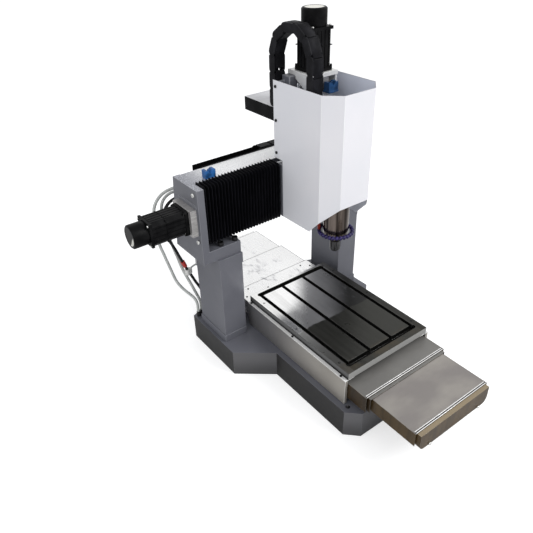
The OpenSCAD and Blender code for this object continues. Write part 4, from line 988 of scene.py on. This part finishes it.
wiper("front_cover_outer")
wiper("front_cover_fixed")
plate_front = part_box("front_end_plate")[0].y
spots = [(x, plate_front, 0.112) for x in (-0.103, 0.103)]
screws("end_plate_screws", spots, (0, -1, 0), 0.009, 0.0045, zinc, "frame")


# ---- Head cover ----
# A box of folded steel sheet, powder-coated white, open at the back and the top. Small black
# screws hold it to the head casting. Its front face is plain.

powder = Finish("white powder coat", (0.8, 0.8, 0.84), coat_weight=0.15, coat_roughness=0.25)
head_low, head_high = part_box("head_cover")
head_middle = (head_low + head_high) / 2
outward = (powder.facing("X") * (powder.at("X") - head_middle.x)
           + powder.facing("Y") * (powder.at("Y") - head_middle.y))
clouds = powder.noise(3, 3).between(0.35, 0.7)
outer_white = powder.mix(clouds, (0.775, 0.78, 0.82), (0.84, 0.83, 0.86))
inner_white = powder.mix(clouds, (0.8, 0.84, 0.95), (0.86, 0.89, 1.0))
powder.tinted(outward.between(-0.02, -0.03), outer_white, inner_white)
powder.roughened(90, 3, 0.14, 0.3).grained(420, 3, 0.15, 0.0004)
powder_edge = Finish("white sheet edge with painted shade", (0.9, 0.9, 0.92), rough=0.35)
# painted shade: the edge's faces that look up or down are painted grey
powder_edge.tinted(abs(powder_edge.facing("Z")) > 0.6, (0.9, 0.9, 0.92), (0.3, 0.3, 0.32))
dressed("head_cover", powder, 0.0008, powder_edge, lowest=20)
for side, x, way in (("left", head_low.x, -1), ("right", head_high.x, 1)):
    spots = [(x, 0.135, z) for z in (0.885, 0.787, 0.688)]
    screws("head_cover_screws_" + side, spots, (way, 0, 0), 0.0085, 0.0035, black_oxide, "carriage")


# ---- Slide, clamp and spindle ----
# The slide and the clamp are milled and ground steel. The water-cooled spindle is a polished
# stainless tube with a black collet nut.

coated("slide_plate", ground)
dressed("spindle_clamp", milled_plate, 0.0008)
polished = Finish("polished spindle steel", (0.46, 0.455, 0.44), metal=0.9)
turning = polished.noise(30, 4, (1, 1, 60))
# painted reflection: the body is painted in dark and light bands along its length
bands = polished.noise(34, 3, (1, 1, 0.05), 0.6)
polished.tinted(bands.between(0.42, 0.62), (0.028, 0.021, 0.017), (0.195, 0.16, 0.14))
polished.feed("Roughness", turning * 0.14 + 0.08).bump(turning, 0.06, 0.0001)
dressed("spindle_body spindle_shaft collet", polished, 0.0006)
nut_black = Finish("blackened collet nut", (0.006, 0.006, 0.0065), rough=0.2, specular=0.7)
flutes = nut_black.waves("X", 90)
nut_black.feed("Roughness", flutes * 0.2 + 0.12).bump(flutes, 0.8, 0.001)
dressed("collet_nut", nut_black, 0.001)


# ---- Coolant ring ----
# A hose of snap-together plastic beads around the spindle's nose. Water reaches it through a
# red riser.

beads = Finish("blue coolant beads", (0.03, 0.02, 0.12), specular=0.3)
bead_height = 0.0145
riser = beads.at("Z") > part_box("coolant_ring")[0].z + bead_height
cloudy = beads.noise(120, 3).between(0.35, 0.7)
blue = beads.mix(cloudy, (0.012, 0.008, 0.055), (0.034, 0.024, 0.125))
red = beads.mix(cloudy, (0.3, 0.02, 0.01), (0.52, 0.045, 0.022))
beads.tinted(riser, blue, red).feed("Roughness", cloudy * 0.15 + 0.22)
dressed("coolant_ring", beads, 0)


# ---- Hoses ----
# Two clear water hoses and the cable conduit leave the back of the beam and drop to the
# base. A thin oil pipe branches off at a junction on the conduit.

outer_route = [
    (-0.264, 0.248, 0.594), (-0.265, 0.273, 0.593), (-0.276, 0.295, 0.591), (-0.296, 0.310, 0.589),
    (-0.320, 0.314, 0.587), (-0.345, 0.314, 0.582), (-0.366, 0.314, 0.569), (-0.381, 0.314, 0.549),
    (-0.388, 0.313, 0.525), (-0.388, 0.313, 0.500), (-0.388, 0.313, 0.474), (-0.388, 0.312, 0.449),
    (-0.387, 0.312, 0.424), (-0.383, 0.312, 0.399), (-0.377, 0.311, 0.375), (-0.371, 0.311, 0.350),
    (-0.365, 0.311, 0.326), (-0.359, 0.311, 0.302), (-0.353, 0.310, 0.277), (-0.346, 0.309, 0.253),
    (-0.336, 0.306, 0.231), (-0.323, 0.301, 0.209), (-0.309, 0.296, 0.189), (-0.296, 0.290, 0.168),
    (-0.290, 0.287, 0.144), (-0.290, 0.286, 0.119), (-0.290, 0.284, 0.094)]
inner_route = [
    (-0.262, 0.248, 0.576), (-0.262, 0.273, 0.575), (-0.263, 0.298, 0.573), (-0.275, 0.319, 0.571),
    (-0.297, 0.330, 0.567), (-0.321, 0.331, 0.564), (-0.342, 0.331, 0.550), (-0.352, 0.331, 0.528),
    (-0.353, 0.331, 0.503), (-0.353, 0.331, 0.478), (-0.351, 0.331, 0.454), (-0.346, 0.330, 0.429),
    (-0.340, 0.329, 0.405), (-0.334, 0.328, 0.381), (-0.329, 0.327, 0.357), (-0.323, 0.326, 0.333),
    (-0.318, 0.325, 0.308), (-0.312, 0.324, 0.284), (-0.306, 0.320, 0.261), (-0.299, 0.314, 0.237),
    (-0.292, 0.309, 0.214), (-0.286, 0.303, 0.191), (-0.279, 0.298, 0.167), (-0.274, 0.293, 0.144),
    (-0.274, 0.291, 0.119), (-0.274, 0.289, 0.094)]
conduit_route = [
    (-0.262, 0.248, 0.556), (-0.268, 0.272, 0.556), (-0.284, 0.290, 0.557), (-0.307, 0.299, 0.559),
    (-0.328, 0.299, 0.557), (-0.349, 0.299, 0.543), (-0.361, 0.299, 0.522), (-0.362, 0.299, 0.497),
    (-0.362, 0.299, 0.472), (-0.361, 0.299, 0.447), (-0.356, 0.299, 0.423), (-0.347, 0.298, 0.400),
    (-0.338, 0.298, 0.377), (-0.330, 0.297, 0.353), (-0.321, 0.297, 0.330), (-0.313, 0.297, 0.307),
    (-0.304, 0.296, 0.283), (-0.294, 0.294, 0.260), (-0.285, 0.292, 0.237), (-0.275, 0.290, 0.215),
    (-0.265, 0.288, 0.192), (-0.258, 0.286, 0.168), (-0.256, 0.284, 0.144), (-0.256, 0.283, 0.119),
    (-0.256, 0.281, 0.094)]
oil_route = [
    (-0.297, 0.305, 0.283), (-0.273, 0.309, 0.289), (-0.254, 0.311, 0.287), (-0.237, 0.314, 0.278),
    (-0.222, 0.317, 0.265), (-0.212, 0.319, 0.249), (-0.206, 0.320, 0.230), (-0.202, 0.322, 0.211),
    (-0.197, 0.323, 0.191), (-0.192, 0.324, 0.172), (-0.188, 0.326, 0.153), (-0.186, 0.327, 0.133),
    (-0.185, 0.327, 0.114), (-0.184, 0.328, 0.094)]
hose_clear = Finish("clear hose", (0.6, 0.62, 0.6), rough=0.2, alpha=0.88).varied(26, 0.18)
conduit_black = Finish("conduit sleeve", (0.012, 0.012, 0.013), rough=0.45, specular=0.2).varied(60, 0.4)
conduit_black.bump(conduit_black.waves("Z", 120), 0.6, 0.0006)


def hose(name, route, diameter, finish):
    """A cord through the points of a route."""
    curve = bpy.data.curves.new(name, "CURVE")
    curve.dimensions = "3D"
    curve.bevel_depth = diameter / 2
    curve.bevel_resolution = 4
    curve.resolution_u = 6
    curve.use_fill_caps = True
    line = curve.splines.new("BEZIER")
    line.bezier_points.add(len(route) - 1)
    for knot, place in zip(line.bezier_points, route):
        knot.co = place
        knot.handle_left_type = knot.handle_right_type = "AUTO"
    curve.materials.append(finish.material)
    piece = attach(placed(name, curve), "frame")
    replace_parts(piece, "beam_hoses")
    return piece


outer_hose = hose("outer_hose", outer_route, 0.01, hose_clear)
inner_hose = hose("inner_hose", inner_route, 0.01, hose_clear)
conduit = hose("conduit", conduit_route, 0.01, conduit_black)
oil_pipe = hose("oil_pipe", oil_route, 0.006, hose_clear)

# A white junction with rounded corners holds the conduit where the oil pipe leaves it.
junction_size = (0.024, 0.016, 0.02)
junction_turn = math.radians(25)
junction_knot = 16
plug_knot = 14
bm = bmesh.new()
bar(bm, junction_size, 0, 0, -junction_size[2] / 2)
bmesh.ops.rotate(bm, matrix=Matrix.Rotation(junction_turn, 3, "Z"), verts=bm.verts)
bmesh.ops.translate(bm, vec=conduit_route[junction_knot], verts=bm.verts)
round_corners(bm, 0.002)
junction_white = Finish("white junction", (0.72, 0.72, 0.7), rough=0.35).varied(80, 0.15)
junction = finished("hose_junction", bm, [junction_white], "frame")
collar_chamfer = 0.0006
neck_share = 0.86


def collar(bm, start, end, radius, flats=20):
    """A turned collar from start to end, with its rims chamfered."""
    start, end = Vector(start), Vector(end)
    made = drum(bm, flats, radius, (end - start).length, posed((start + end) / 2, end - start))
    rims = [e for e in {e for v in made for e in v.link_edges} if e.calc_face_angle(0) > 1]
    bevelled(bm, rims, collar_chamfer, 1)


# Push-in fittings of black plastic hold the hoses in the beam and in the base.
nut_length = 0.013
neck_length = 0.006
bm = bmesh.new()
for route, radius in ((outer_route, 0.0078), (inner_route, 0.0078), (conduit_route, 0.0082),
                      (oil_route, 0.0056)):
    ends = [route[:-3:-1]] if route is oil_route else [route[:2], route[:-3:-1]]
    for mouth, inner in ends:
        mouth = Vector(mouth)
        way = (Vector(inner) - mouth).normalized()
        neck = mouth + way * nut_length
        collar(bm, mouth, neck, radius, 6)
        collar(bm, neck, neck + way * neck_length, radius * neck_share)
fitting_black = Finish("black fitting", (0.014, 0.014, 0.015), rough=0.35, specular=0.3).varied(120, 0.4)
finished("hose_fittings", bm, [fitting_black], "frame")

# A red plug sits on the conduit just above the junction.
bm = bmesh.new()
collar(bm, conduit_route[plug_knot], conduit_route[plug_knot + 1], 0.0075, 12)
plug_red = Finish("red plug", (0.46, 0.022, 0.016), rough=0.35).varied(120, 0.25)
plug = finished("conduit_plug", bm, [plug_red], "frame")
